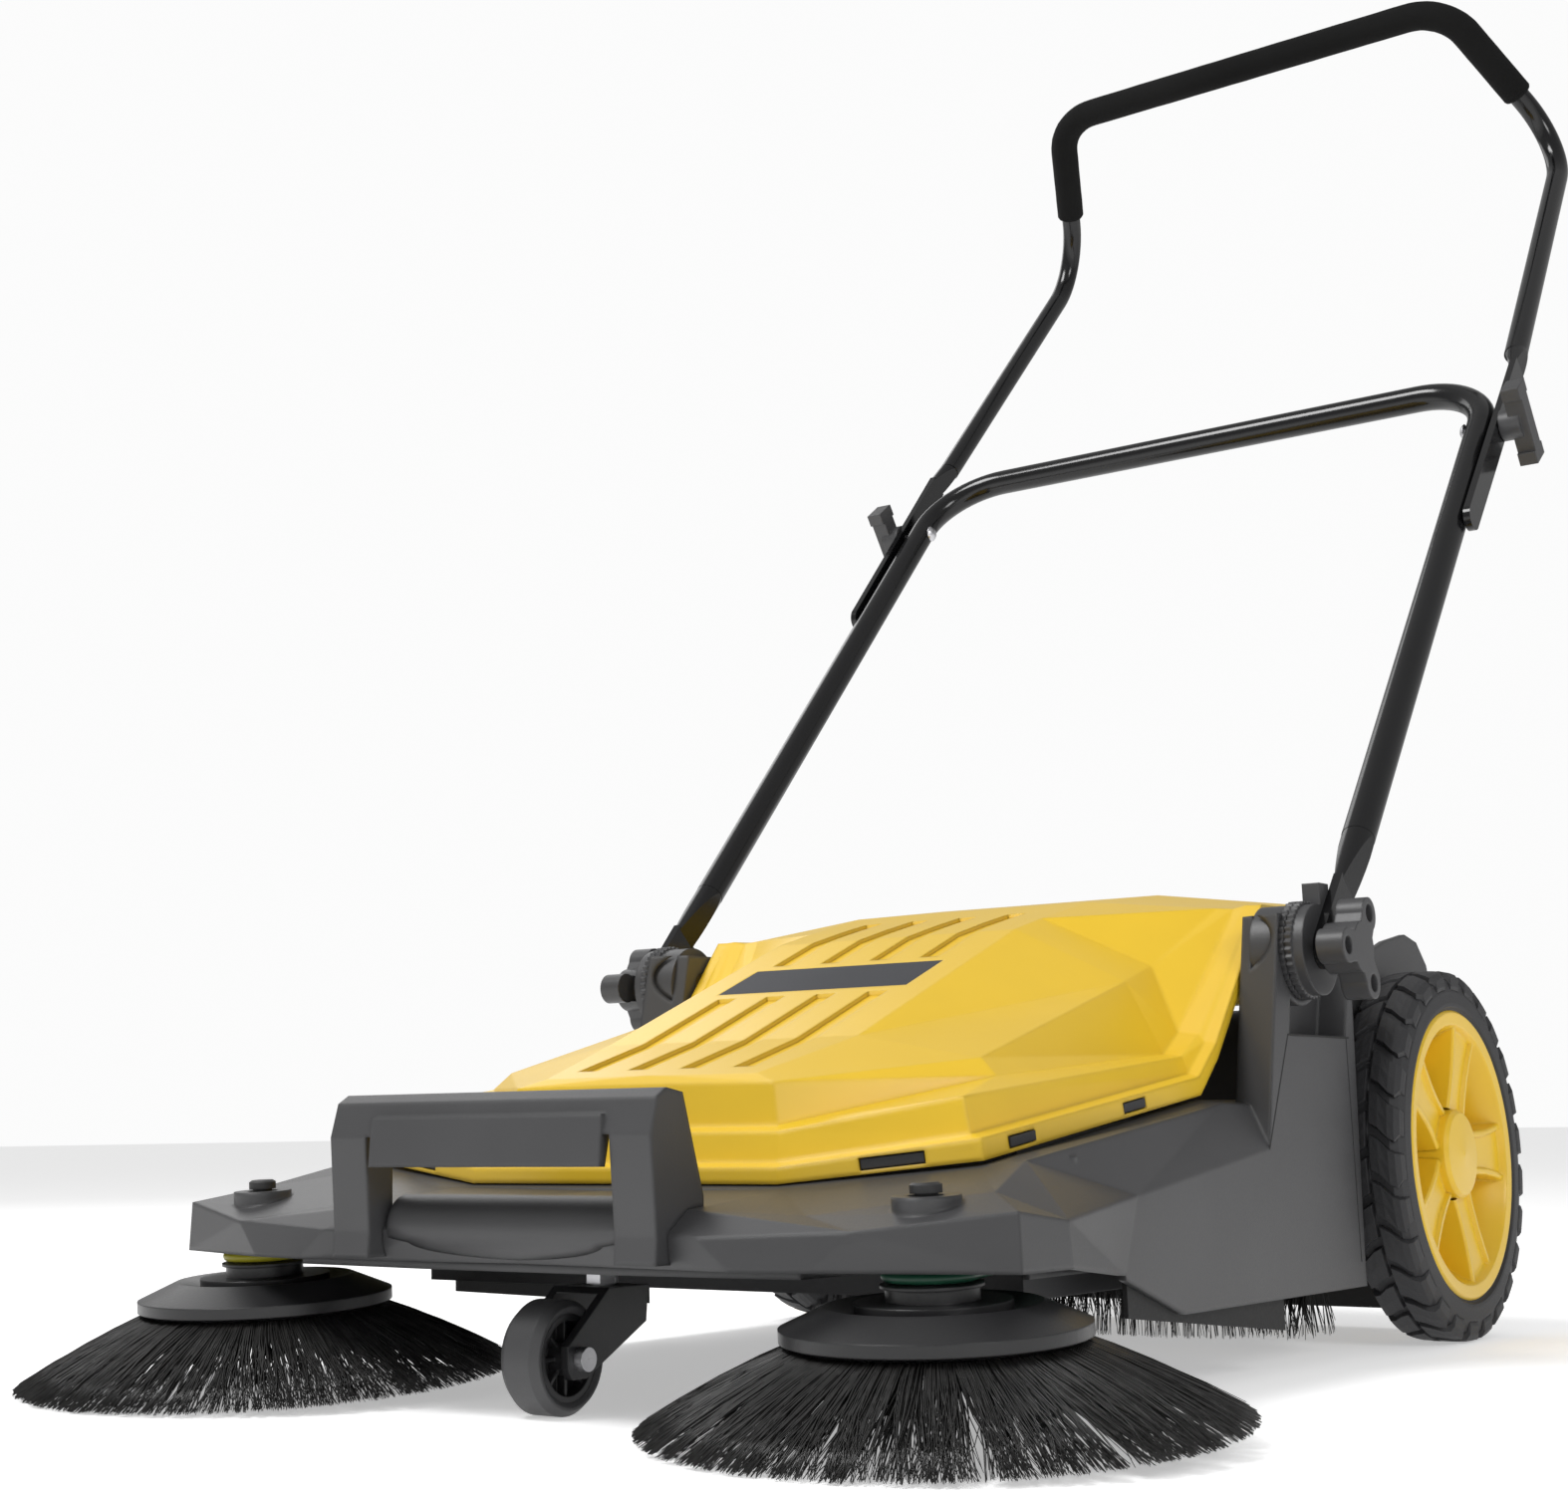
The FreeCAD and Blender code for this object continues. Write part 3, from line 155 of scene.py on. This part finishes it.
def surface(name, color, rough, grain=700.0, bump=0.06, vary=0.10, edge=0.0, coat=0.0, metal=0.0,
            stretch=(1, 1, 1), rough_vary=0.08, mottling=9.0, spec=0.5):
    """Procedural finish: large mottling, fine grain in bump and roughness, edges rounded by edge metres."""
    mat = bpy.data.materials.new(name)
    mat.use_nodes = True
    tree = mat.node_tree
    shader = tree.nodes["Principled BSDF"]
    shader.inputs["Metallic"].default_value = metal
    shader.inputs["Specular IOR Level"].default_value = spec
    shader.inputs["Coat Weight"].default_value = coat
    shader.inputs["Coat Roughness"].default_value = COAT_ROUGH
    link = tree.links.new
    where = tree.nodes.new("ShaderNodeTexCoord")
    mapping = tree.nodes.new("ShaderNodeMapping")
    mapping.inputs["Scale"].default_value = stretch
    link(where.outputs["Object"], mapping.inputs["Vector"])
    broad = node(tree, "ShaderNodeTexNoise", Scale=mottling, Detail=3.0)
    fine = node(tree, "ShaderNodeTexNoise", Scale=grain, Detail=4.0, Roughness=0.65)
    link(where.outputs["Object"], broad.inputs["Vector"])
    link(mapping.outputs["Vector"], fine.inputs["Vector"])
    ramp = tree.nodes.new("ShaderNodeValToRGB")
    darker = [max(c * (1 - vary), 0.0) for c in color] + [1]
    lighter = [min(c * (1 + vary), 1.0) for c in color] + [1]
    for stop, place, shade in zip(ramp.color_ramp.elements, (MOTTLE_FROM, MOTTLE_TO), (darker, lighter)):
        stop.position, stop.color = place, shade
    link(broad.outputs["Fac"], ramp.inputs["Fac"])
    link(ramp.outputs["Color"], shader.inputs["Base Color"])
    spread = node(tree, "ShaderNodeMapRange")
    spread.inputs["To Min"].default_value = max(rough - rough_vary, 0.02)
    spread.inputs["To Max"].default_value = min(rough + rough_vary, 1.0)
    link(fine.outputs["Fac"], spread.inputs["Value"])
    link(spread.outputs["Result"], shader.inputs["Roughness"])
    relief = node(tree, "ShaderNodeBump", Strength=bump, Distance=GRAIN_DEPTH)
    link(fine.outputs["Fac"], relief.inputs["Height"])
    if edge:
        rounding = tree.nodes.new("ShaderNodeBevel")
        rounding.samples = 4
        rounding.inputs["Radius"].default_value = edge
        link(rounding.outputs["Normal"], relief.inputs["Normal"])
    link(relief.outputs["Normal"], shader.inputs["Normal"])
    return mat


YELLOW = (0.80, 0.52, 0.022)
SHELL_GREY = (0.050, 0.050, 0.052)
MOULDED = dict(grain=900, bump=0.05, vary=0.03, coat=0.15)
SHELL = dict(grain=1100, bump=0.16, vary=0.08)
BELT = dict(grain=500, bump=0.1, vary=0.1)
FINISHES = {
    "hood_yellow": dict(color=YELLOW, rough=0.36, edge=0.0035, **MOULDED),
    "rim_yellow": dict(color=YELLOW, rough=0.34, edge=0.0015, **MOULDED),
    "chassis_grey": dict(color=SHELL_GREY, rough=0.42, edge=0.003, **SHELL),
    "hub_grey": dict(color=SHELL_GREY, rough=0.42, edge=0.0015, **SHELL),
    "pan_grey": dict(color=(0.03, 0.03, 0.032), rough=0.55, grain=900, bump=0.15, edge=0.001),
    "insert_grey": dict(color=(0.06, 0.06, 0.063), rough=0.5, grain=900, bump=0.15, edge=0.001),
    "badge_grey": dict(color=(0.035, 0.036, 0.042), rough=0.55, grain=1200, bump=0.05, edge=0.0008,
                       spec=0.25),
    "tube_black": dict(color=(0.004, 0.004, 0.0045), rough=0.16, grain=500, bump=0.03,
                       rough_vary=0.03, spec=0.45),
    "foam_black": dict(color=(0.005, 0.005, 0.005), rough=0.95, grain=1500, bump=0.6, vary=0.25,
                       spec=0.2),
    "tyre_black": dict(color=(0.020, 0.020, 0.022), rough=0.6, grain=800, bump=0.3, vary=0.15,
                       edge=0.0006),
    "caster_tyre_grey": dict(color=(0.05, 0.05, 0.052), rough=0.5, grain=900, bump=0.2, vary=0.1,
                             edge=0.001),
    "disc_black": dict(color=(0.014, 0.014, 0.015), rough=0.35, grain=900, bump=0.12, vary=0.12,
                       edge=0.001),
    "gear_black": dict(color=(0.02, 0.02, 0.02), rough=0.5, grain=700, bump=0.1, edge=0.0005),
    "bristle_black": dict(color=(0.011, 0.0105, 0.010), rough=0.36, grain=300, bump=0.1, vary=0.5,
                          mottling=160),
    "skirt_rubber": dict(color=(0.012, 0.012, 0.012), rough=0.7, grain=600, bump=0.3, vary=0.2,
                         edge=0.0005),
    "steel": dict(color=(0.6, 0.6, 0.62), rough=0.3, grain=300, bump=0.15, vary=0.08, metal=1.0,
                  edge=0.0005, stretch=(1, 1, 8)),
    # belt_yellow and belt_green are one yellow-green belt: belt_green is its shaded copy, painted darker green as
    # painted shade for the belt that lies in shadow
    "belt_yellow": dict(color=(0.33, 0.30, 0.015), rough=0.4, **BELT),
    "belt_green": dict(color=(0.008, 0.055, 0.03), rough=0.4, **BELT),
}
MATS = {name: surface(name, **finish) for name, finish in FINISHES.items()}
for entry in frame["record"]["subparts"]:
    obj = frame["nodes"][entry["node"]]
    obj.data.materials.clear()
    obj.data.materials.append(MATS[entry["material_slot"]])


# ---- side brushes: rows of tufts in the brush disc -------------------------------
BRUSH_DROP = 37.2 * MM        # from the joint's origin down to the tips
ROOT_DEPTH = 4.0 * MM         # the bristles leave the disc this far below that origin
BRUSH_ROWS = (                # tufts, root radius, tip as a share of the reach, strands, share of the drop
    (58, 60.5 * MM, 0.985, 40, 0.985),
    (46, 53.0 * MM, 0.93, 24, 1.0),
    (32, 45.0 * MM, 0.84, 14, 1.0),
)


def side_brush(name, body, joint, seed):
    rng = random.Random(seed)
    low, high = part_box("brush_bristles_" + name)
    reach = (high[0] - low[0]) / 2
    spin = joints[joint]
    place = axis_frame(spin["pos_m"], spin["axis"], (1, 0, 0))
    build = Builder()
    for count, root_r, share, strands, tip_h in BRUSH_ROWS:
        tip_r = reach * share
        for i in range(count):
            centre = 2 * math.pi * (i + rng.uniform(-0.1, 0.1)) / count
            sway = rng.gauss(0, 0.03)
            for _ in range(strands):
                start_a = centre + rng.gauss(0, 0.0022) / root_r
                end_a = centre + sway + rng.gauss(0, 0.045)
                length = tip_r - abs(rng.gauss(0, 2.6 * MM))
                lift = rng.gauss(0, 1.2 * MM)
                r0 = root_r + rng.gauss(0, 1.0 * MM)
                path = []
                for k in range(5):
                    t = k / 4
                    r = r0 + (length - r0) * t
                    a = start_a + (end_a - start_a) * t * t
                    h = -ROOT_DEPTH - (BRUSH_DROP * tip_h - ROOT_DEPTH) * (0.80 * t + 0.20 * t * t)
                    h = max(h + lift * t * (1 - 0.6 * t), -BRUSH_DROP)
                    path.append(Vector((r * math.cos(a), r * math.sin(a), h)))
                build.strand(path, rng.uniform(0.42, 0.62) * MM)
    obj = mesh_object("bristles_" + name, build.moved(place), build.faces)
    finish_piece(obj, body, MATS["bristle_black"], ["brush_bristles_" + name])


for brush_name, brush_seed in (("right", 11), ("left", 12)):
    side_brush(brush_name, "side_brush_" + brush_name, "side_brush_" + brush_name + "_spin", brush_seed)


# ---- roller: spiral rows of tufts ---------------------------------------------------
ROLLER_ROWS, TUFTS_ALONG, TUFT_STRANDS = 7, 44, 12
ROLLER_TWIST = 1.6            # radians that a row turns from end to end


def roller_brush():
    rng = random.Random(21)
    low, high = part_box("roller_bristles")
    core_low, core_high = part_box("roller_core")
    centre_y, centre_z = (low[1] + high[1]) / 2, (low[2] + high[2]) / 2
    outer, inner = (high[2] - low[2]) / 2, (core_high[2] - core_low[2]) / 2
    build = Builder()
    for row in range(ROLLER_ROWS):
        for i in range(TUFTS_ALONG):
            x = low[0] + (i + 0.5) * (high[0] - low[0]) / TUFTS_ALONG
            angle = 2 * math.pi * row / ROLLER_ROWS + ROLLER_TWIST * i / TUFTS_ALONG
            for _ in range(TUFT_STRANDS):
                a = angle + rng.gauss(0, 0.03)
                bend = a + rng.gauss(0, 0.07)
                tip_x = min(max(x + rng.gauss(0, 2.4 * MM), low[0]), high[0])
                tip_r = outer - abs(rng.gauss(0, 1.0 * MM))
                root = Vector((x + rng.gauss(0, 1.0 * MM),
                               centre_y + inner * math.cos(a), centre_z + inner * math.sin(a)))
                tip = Vector((tip_x, centre_y + tip_r * math.cos(bend), centre_z + tip_r * math.sin(bend)))
                build.strand([root, root.lerp(tip, 0.55), tip], 0.55 * MM)
    obj = mesh_object("bristles_roller", build.verts, build.faces)
    finish_piece(obj, "roller", MATS["bristle_black"], ["roller_bristles"])


roller_brush()


# ---- rear tyres: carcass with chevron lugs ---------------------------------------------
LUGS = 26                     # on each side of a tyre, the two sides half a pitch apart
LUG_HEIGHT = 3.2 * MM
LUG_ROOT = 3.6 * MM           # from a lug's top to its foot inside the carcass
LUG_LINE = (                  # mm from the tyre's middle, mm below the tread, lean in pitches
    (1.2, 0.0, 0.0), (6.0, 0.0, 0.10), (11.5, 0.3, 0.32),
    (15.2, 1.2, 0.40), (17.4, 4.4, 0.42), (17.7, 9.5, 0.44),
)
SHOULDER_X = 16               # mm from the middle; past it a lug is narrower
LUG_WIDTH, SHOULDER_WIDTH = 0.80, 0.62      # in pitches


def wheel_piece(node_name, side):
    """Outer radius and half width of a wheel's node, and the matrix that sets its outer face to side."""
    low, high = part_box(node_name)
    centre = Vector(((low[0] + high[0]) / 2, (low[1] + high[1]) / 2, (low[2] + high[2]) / 2))
    return (high[2] - low[2]) / 2, (high[0] - low[0]) / 2, axis_frame(centre, (side, 0, 0), (0, 0, 1))


def tyre(name, side):
    big_r, half, place = wheel_piece("wheel_tyre_" + name, side)
    rim_r = wheel_piece("wheel_rim_" + name, side)[0]
    build = Builder()
    base = big_r - LUG_HEIGHT
    outline = [(rim_r, -half + 2 * MM), (rim_r + 4 * MM, -half), (base - 10 * MM, -half + 0.4 * MM),
               (base - 3 * MM, -half + 2.2 * MM), (base, -half + 6 * MM), (base + 0.3 * MM, 0),
               (base, half - 6 * MM), (base - 3 * MM, half - 2.2 * MM), (base - 10 * MM, half - 0.4 * MM),
               (rim_r + 4 * MM, half), (rim_r + 2.2 * MM, half - 0.2 * MM),
               (rim_r + 1.2 * MM, half - 1.6 * MM), (rim_r, half - 2 * MM)]
    build.lathe(outline + outline[:1], 144)
    pitch = 2 * math.pi / LUGS
    for way in (1, -1):
        for n in range(LUGS):
            start = (n + (0.0 if way > 0 else 0.5)) * pitch
            top, foot = [], []
            for x, fall, lean in LUG_LINE:
                width = LUG_WIDTH if x < SHOULDER_X else SHOULDER_WIDTH
                ring_top, ring_foot = [], []
                for edge in (0.0, 0.5, 1.0):
                    a = start + pitch * (lean + width * edge)
                    r = big_r - fall * MM
                    taper = 0.03 * pitch * (1 - 2 * edge)
                    ring_top.append(Vector((r * math.cos(a + taper), r * math.sin(a + taper), way * x * MM)))
                    r_foot = r - LUG_ROOT
                    ring_foot.append(Vector((r_foot * math.cos(a), r_foot * math.sin(a),
                                             way * (x - 0.8) * MM)))
                top.append(ring_top)
                foot.append(ring_foot)
            build.grid(top)
            build.grid([[t[0] for t in top], [f[0] for f in foot]])
            build.grid([[f[2] for f in foot], [t[2] for t in top]])
            build.grid([foot[0], top[0]])
            build.grid([top[-1], foot[-1]])
    obj = mesh_object("tyre_" + name, build.moved(place), build.faces, smooth=False)
    finish_piece(obj, "wheel_" + name, MATS["tyre_black"], ["wheel_tyre_" + name])


# ---- rear rims: dish, five spokes with raised edges and windows ---------------------------
SPOKES = 5
BAY = 2 * math.pi / SPOKES
BOSS_R = 26 * MM
FLOOR_DEPTH = 21 * MM         # from the rim's outer face in to the floor of the bays
WINDOW_ALONG, WINDOW_ACROSS = 12 * MM, 10 * MM      # half sizes of a window
WINDOW_AT = 0.58              # share of the way from the boss to the floor's edge


def rim(name, side):
    rim_r, half, place = wheel_piece("wheel_rim_" + name, side)
    cap_r = wheel_piece("wheel_cap_" + name, side)[0]
    build = Builder()
    lip, wall, floor_r = rim_r - 8.5 * MM, rim_r - 12 * MM, rim_r - 20 * MM
    floor_h = half - FLOOR_DEPTH
    build.lathe([(rim_r - 6 * MM, -half), (rim_r, -half), (rim_r, half - 1.5 * MM), (rim_r - 1.5 * MM, half),
                 (lip, half - 0.6 * MM), (lip - 1.2 * MM, half - 2.5 * MM), (wall, half - 9 * MM),
                 (floor_r, floor_h), (floor_r, floor_h - 3 * MM), (wall + 4 * MM, half - 14 * MM),
                 (rim_r - 6 * MM, -half)], 120)
    build.lathe([(cap_r + 0.2 * MM, -half), (BOSS_R, -half), (BOSS_R + 1.5 * MM, floor_h),
                 (BOSS_R, half - 3 * MM), (BOSS_R - 2 * MM, half - 0.8 * MM), (0, half + 0.4 * MM)], 72)
    # conical web with a rounded window low in each bay
    rows, steps, rings = [], 200, 12
    for s in range(steps):
        a = 2 * math.pi * s / steps
        row = []
        for k in range(rings + 1):
            r = BOSS_R + (floor_r - BOSS_R) * k / rings
            h = floor_h - 1.5 * MM - 7 * MM * (1 - k / rings)
            row.append(Vector((r * math.cos(a), r * math.sin(a), h)))
        rows.append(row)
    start = len(build.faces)
    build.grid(rows, closed_v=True)
    kept = build.faces[:start]
    for face in build.faces[start:]:
        mid = sum((build.verts[i] for i in face), Vector()) / 4
        angle, r = math.atan2(mid.y, mid.x), math.hypot(mid.x, mid.y)
        bay = (angle + math.pi / 2 + BAY / 2 + 2 * math.pi) % BAY - BAY / 2
        off_r = (r - (BOSS_R + WINDOW_AT * (floor_r - BOSS_R))) / WINDOW_ALONG
        off_a = (bay - BAY / 2 if bay > 0 else bay + BAY / 2) * r / WINDOW_ACROSS
        if off_r * off_r + off_a * off_a > 1:
            kept.append(face)
    build.faces = kept
    for n in range(SPOKES):
        a = math.pi / 2 + 2 * math.pi * n / SPOKES + math.pi
        along = Vector((math.cos(a), math.sin(a), 0))
        across = Vector((-math.sin(a), math.cos(a), 0))
        stations = []
        for t in (0.0, 0.25, 0.5, 0.75, 1.0):
            r = BOSS_R - 2 * MM + (lip + 3 * MM - BOSS_R) * t
            half_w = (11.5 + 7.0 * t * t + 2.5 * (1 - t) ** 3) * MM
            top = half - (5.5 - 3.0 * t) * MM
            outline = [(-half_w - 1.5 * MM, floor_h - 6 * MM), (-half_w, top - 1 * MM),
                       (-half_w + 1 * MM, top), (-half_w + 3.4 * MM, top),
                       (-half_w + 4.4 * MM, top - 2.2 * MM),
                       (half_w - 4.4 * MM, top - 2.2 * MM), (half_w - 3.4 * MM, top), (half_w - 1 * MM, top),
                       (half_w, top - 1 * MM), (half_w + 1.5 * MM, floor_h - 6 * MM)]
            stations.append([along * r + across * w + Vector((0, 0, h)) for w, h in outline])
        build.grid(stations)
    obj = mesh_object("rim_" + name, build.moved(place), build.faces, smooth=False)
    obj.data.shade_smooth()
    obj.data.set_sharp_from_angle(angle=math.radians(35))
    finish_piece(obj, "wheel_" + name, MATS["rim_yellow"], ["wheel_rim_" + name])


for wheel_name, wheel_side in (("right", 1), ("left", -1)):
    tyre(wheel_name, wheel_side)
    rim(wheel_name, wheel_side)


# ---- foam grip: sleeve bent with the tube, its ends rounded over ----------------------------
GRIP_CORNER = Vector((169.2, 748.9, 1000.4)) * MM     # where grip and upright would meet, right side
GRIP_ELBOW = Vector((219.3, 863.2, 904.3)) * MM       # the upright's other end
GRIP_BEND = 42 * MM           # radius of the tube's bend at the corner
FOAM_COVER = 97 * MM          # length of upright under the foam, from the corner
FOAM_R, FOAM_BORE = 11.5 * MM, 8.1 * MM
FOAM_ROUGH = 0.06 * MM        # spread of the skin's height


def foam_grip():
    rng = random.Random(31)
    corner, bend = GRIP_CORNER, GRIP_BEND
    down = (GRIP_ELBOW - corner).normalized()
    inward = Vector((-1, 0, 0))
    half = down.angle(inward) / 2
    cut = bend / math.tan(half)
    centre = corner + (down + inward).normalized() * (bend / math.sin(half))
    start, end = corner + down * cut, corner + inward * cut
    path = [(corner + down * FOAM_COVER).lerp(start, k / 8) for k in range(8)]
    a, b = start - centre, end - centre
    sweep = a.angle(b)
    for k in range(15):
        t = k / 14
        path.append(centre + (a * math.sin((1 - t) * sweep) + b * math.sin(t * sweep)) / math.sin(sweep))
    path += [end.lerp(Vector((0, end.y, end.z)), k / 12) for k in range(1, 12)]
    whole = path + [Vector((0, end.y, end.z))] + [Vector((-p.x, p.y, p.z)) for p in reversed(path)]
    normal = inward.cross(down).normalized()
    rings, sides = [], 40

    def ring(p, tangent, r):
        side = tangent.cross(normal)
        out = []
        for i in range(sides):
            t = 2 * math.pi * i / sides
            rr = r + (rng.gauss(0, FOAM_ROUGH) if r > 10 * MM else 0)
            out.append(p + normal * (rr * math.cos(t)) + side * (rr * math.sin(t)))
        return out

    last = len(whole) - 1
    tangents = [(whole[min(k + 1, last)] - whole[max(k - 1, 0)]).normalized() for k in range(last + 1)]
    skin = FOAM_R - 0.1 * MM
    cap = [(0.0, FOAM_BORE), (0.0, FOAM_R - 2.0 * MM), (0.6 * MM, FOAM_R - 0.8 * MM), (2 * MM, skin)]
    for depth, r in cap:
        rings.append(ring(whole[0] + tangents[0] * depth, tangents[0], r))
    rings += [ring(p, t, skin) for p, t in list(zip(whole, tangents))[1:-1]]
    for depth, r in reversed(cap):
        rings.append(ring(whole[-1] - tangents[-1] * depth, tangents[-1], r))
    build = Builder()
    build.grid(rings, closed_u=True)
    obj = mesh_object("foam_sleeve", build.verts, build.faces)
    finish_piece(obj, "upper_handle", MATS["foam_black"], ["foam_grip"])


foam_grip()


# ---- seams of the side panels ------------------------------------------------------------------
FLAP_TO_PANEL = 4.35 * MM     # from the side flap's outer face to the side panel's
SEAM_HALF, SEAM_SUNK, SEAM_PROUD = 0.55 * MM, 0.5 * MM, 0.12 * MM
SEAM_LINES = (                # from and to, as (y, z) in mm
    ((190, 175.5), (156, 115)),
    ((272, 175), (272, 52)),
    ((276, 175.5), (190, 175.5)),
)


def seams():
    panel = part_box("side_flap_right")[1].x + FLAP_TO_PANEL
    for name, side in (("right", 1), ("left", -1)):
        build = Builder()
        for (y0, z0), (y1, z1) in SEAM_LINES:
            a, b = Vector((0, y0, z0)) * MM, Vector((0, y1, z1)) * MM
            w = (b - a).normalized().cross(Vector((1, 0, 0))) * SEAM_HALF
            inner = Vector((side * (panel - SEAM_SUNK), 0, 0))
            outer = Vector((side * (panel + SEAM_PROUD), 0, 0))
            loop = (a - w, b - w, b + w, a + w)
            build.block([p + inner for p in loop], [p + outer for p in loop])
        obj = mesh_object("panel_seams_" + name, build.verts, build.faces, smooth=False)
        finish_piece(obj, "chassis", MATS["skirt_rubber"])


seams()


# ---- stage, light and camera -----------------------------------------------------------------
FLOOR_HALF = 30
FILL_LIGHT = 0.42             # of the world on the object, and of the floor by itself
BACKDROP = 0.97               # of the world as the camera sees it
WHITE = (1, 1, 1, 1)
LAMPS = (                     # name, place, aim, size, power
    ("key", (-0.9, -1.2, 2.8), (0, 0.1, 0.2), 1.2, 62),
    ("side", (2.4, -1.2, 1.6), (0, 0.2, 0.2), 0.9, 20),
    ("back", (-2.4, 1.6, 2.0), (0, 0.2, 0.3), 1.6, 12),
)


def stage():
    e = FLOOR_HALF
    corners = [(-e, -e, 0), (e, -e, 0), (e, e, 0), (-e, e, 0)]
    floor = mesh_object("floor", corners, [(0, 1, 2, 3)], smooth=False)
    mat = surface("floor_pale", (0.9, 0.9, 0.9), 0.9, grain=60, bump=0.02, vary=0.01)
    glow = mat.node_tree.nodes["Principled BSDF"]
    glow.inputs["Emission Color"].default_value = WHITE
    glow.inputs["Emission Strength"].default_value = FILL_LIGHT
    floor.data.materials.append(mat)
    world = bpy.data.worlds.new("world")
    scene.world = world
    world.use_nodes = True
    tree = world.node_tree
    soft, seen = tree.nodes["Background"], tree.nodes.new("ShaderNodeBackground")
    for ground, strength in ((soft, FILL_LIGHT), (seen, BACKDROP)):
        ground.inputs["Color"].default_value = WHITE
        ground.inputs["Strength"].default_value = strength
    mix = tree.nodes.new("ShaderNodeMixShader")
    ray = tree.nodes.new("ShaderNodeLightPath")
    tree.links.new(ray.outputs["Is Camera Ray"], mix.inputs[0])
    tree.links.new(soft.outputs[0], mix.inputs[1])
    tree.links.new(seen.outputs[0], mix.inputs[2])
    tree.links.new(mix.outputs[0], tree.nodes["World Output"].inputs["Surface"])
    for name, spot, aim, size, power in LAMPS:
        light = bpy.data.lights.new(name, "AREA")
        light.energy, light.size = power, size
        lamp = bpy.data.objects.new(name, light)
        scene.collection.objects.link(lamp)
        lamp.location = spot
        lamp.rotation_euler = (Vector(aim) - Vector(spot)).to_track_quat("-Z", "Y").to_euler()


# The camera fitted to the photograph
CAMERA_AT = (0.7316, -1.0553, 0.1300)
CAMERA_YAW, CAMERA_PITCH, CAMERA_ROLL = 38.414, 10.671, -0.793      # degrees
CAMERA_LENS, CAMERA_SENSOR = 54.54, 36.0
CAMERA_SHIFT_X, CAMERA_SHIFT_Y = 0.1176, -0.0413


def camera():
    yaw, pitch, roll = (math.radians(a) for a in (CAMERA_YAW, CAMERA_PITCH, CAMERA_ROLL))
    ahead = Vector((-math.sin(yaw) * math.cos(pitch), math.cos(yaw) * math.cos(pitch), math.sin(pitch)))
    right = ahead.cross(Vector((0, 0, 1))).normalized()
    up = right.cross(ahead)
    right, up = (math.cos(roll) * right + math.sin(roll) * up, -math.sin(roll) * right + math.cos(roll) * up)
    data = bpy.data.cameras.new("camera")
    data.sensor_width, data.lens = CAMERA_SENSOR, CAMERA_LENS
    data.shift_x, data.shift_y = CAMERA_SHIFT_X, CAMERA_SHIFT_Y
    data.clip_start, data.clip_end = 0.02, 50
    cam = bpy.data.objects.new("camera", data)
    scene.collection.objects.link(cam)
    turn = Matrix([right, up, -ahead]).transposed().to_4x4()
    cam.matrix_world = Matrix.Translation(CAMERA_AT) @ turn
    scene.camera = cam


stage()
camera()
scene.view_settings.view_transform = "Standard"
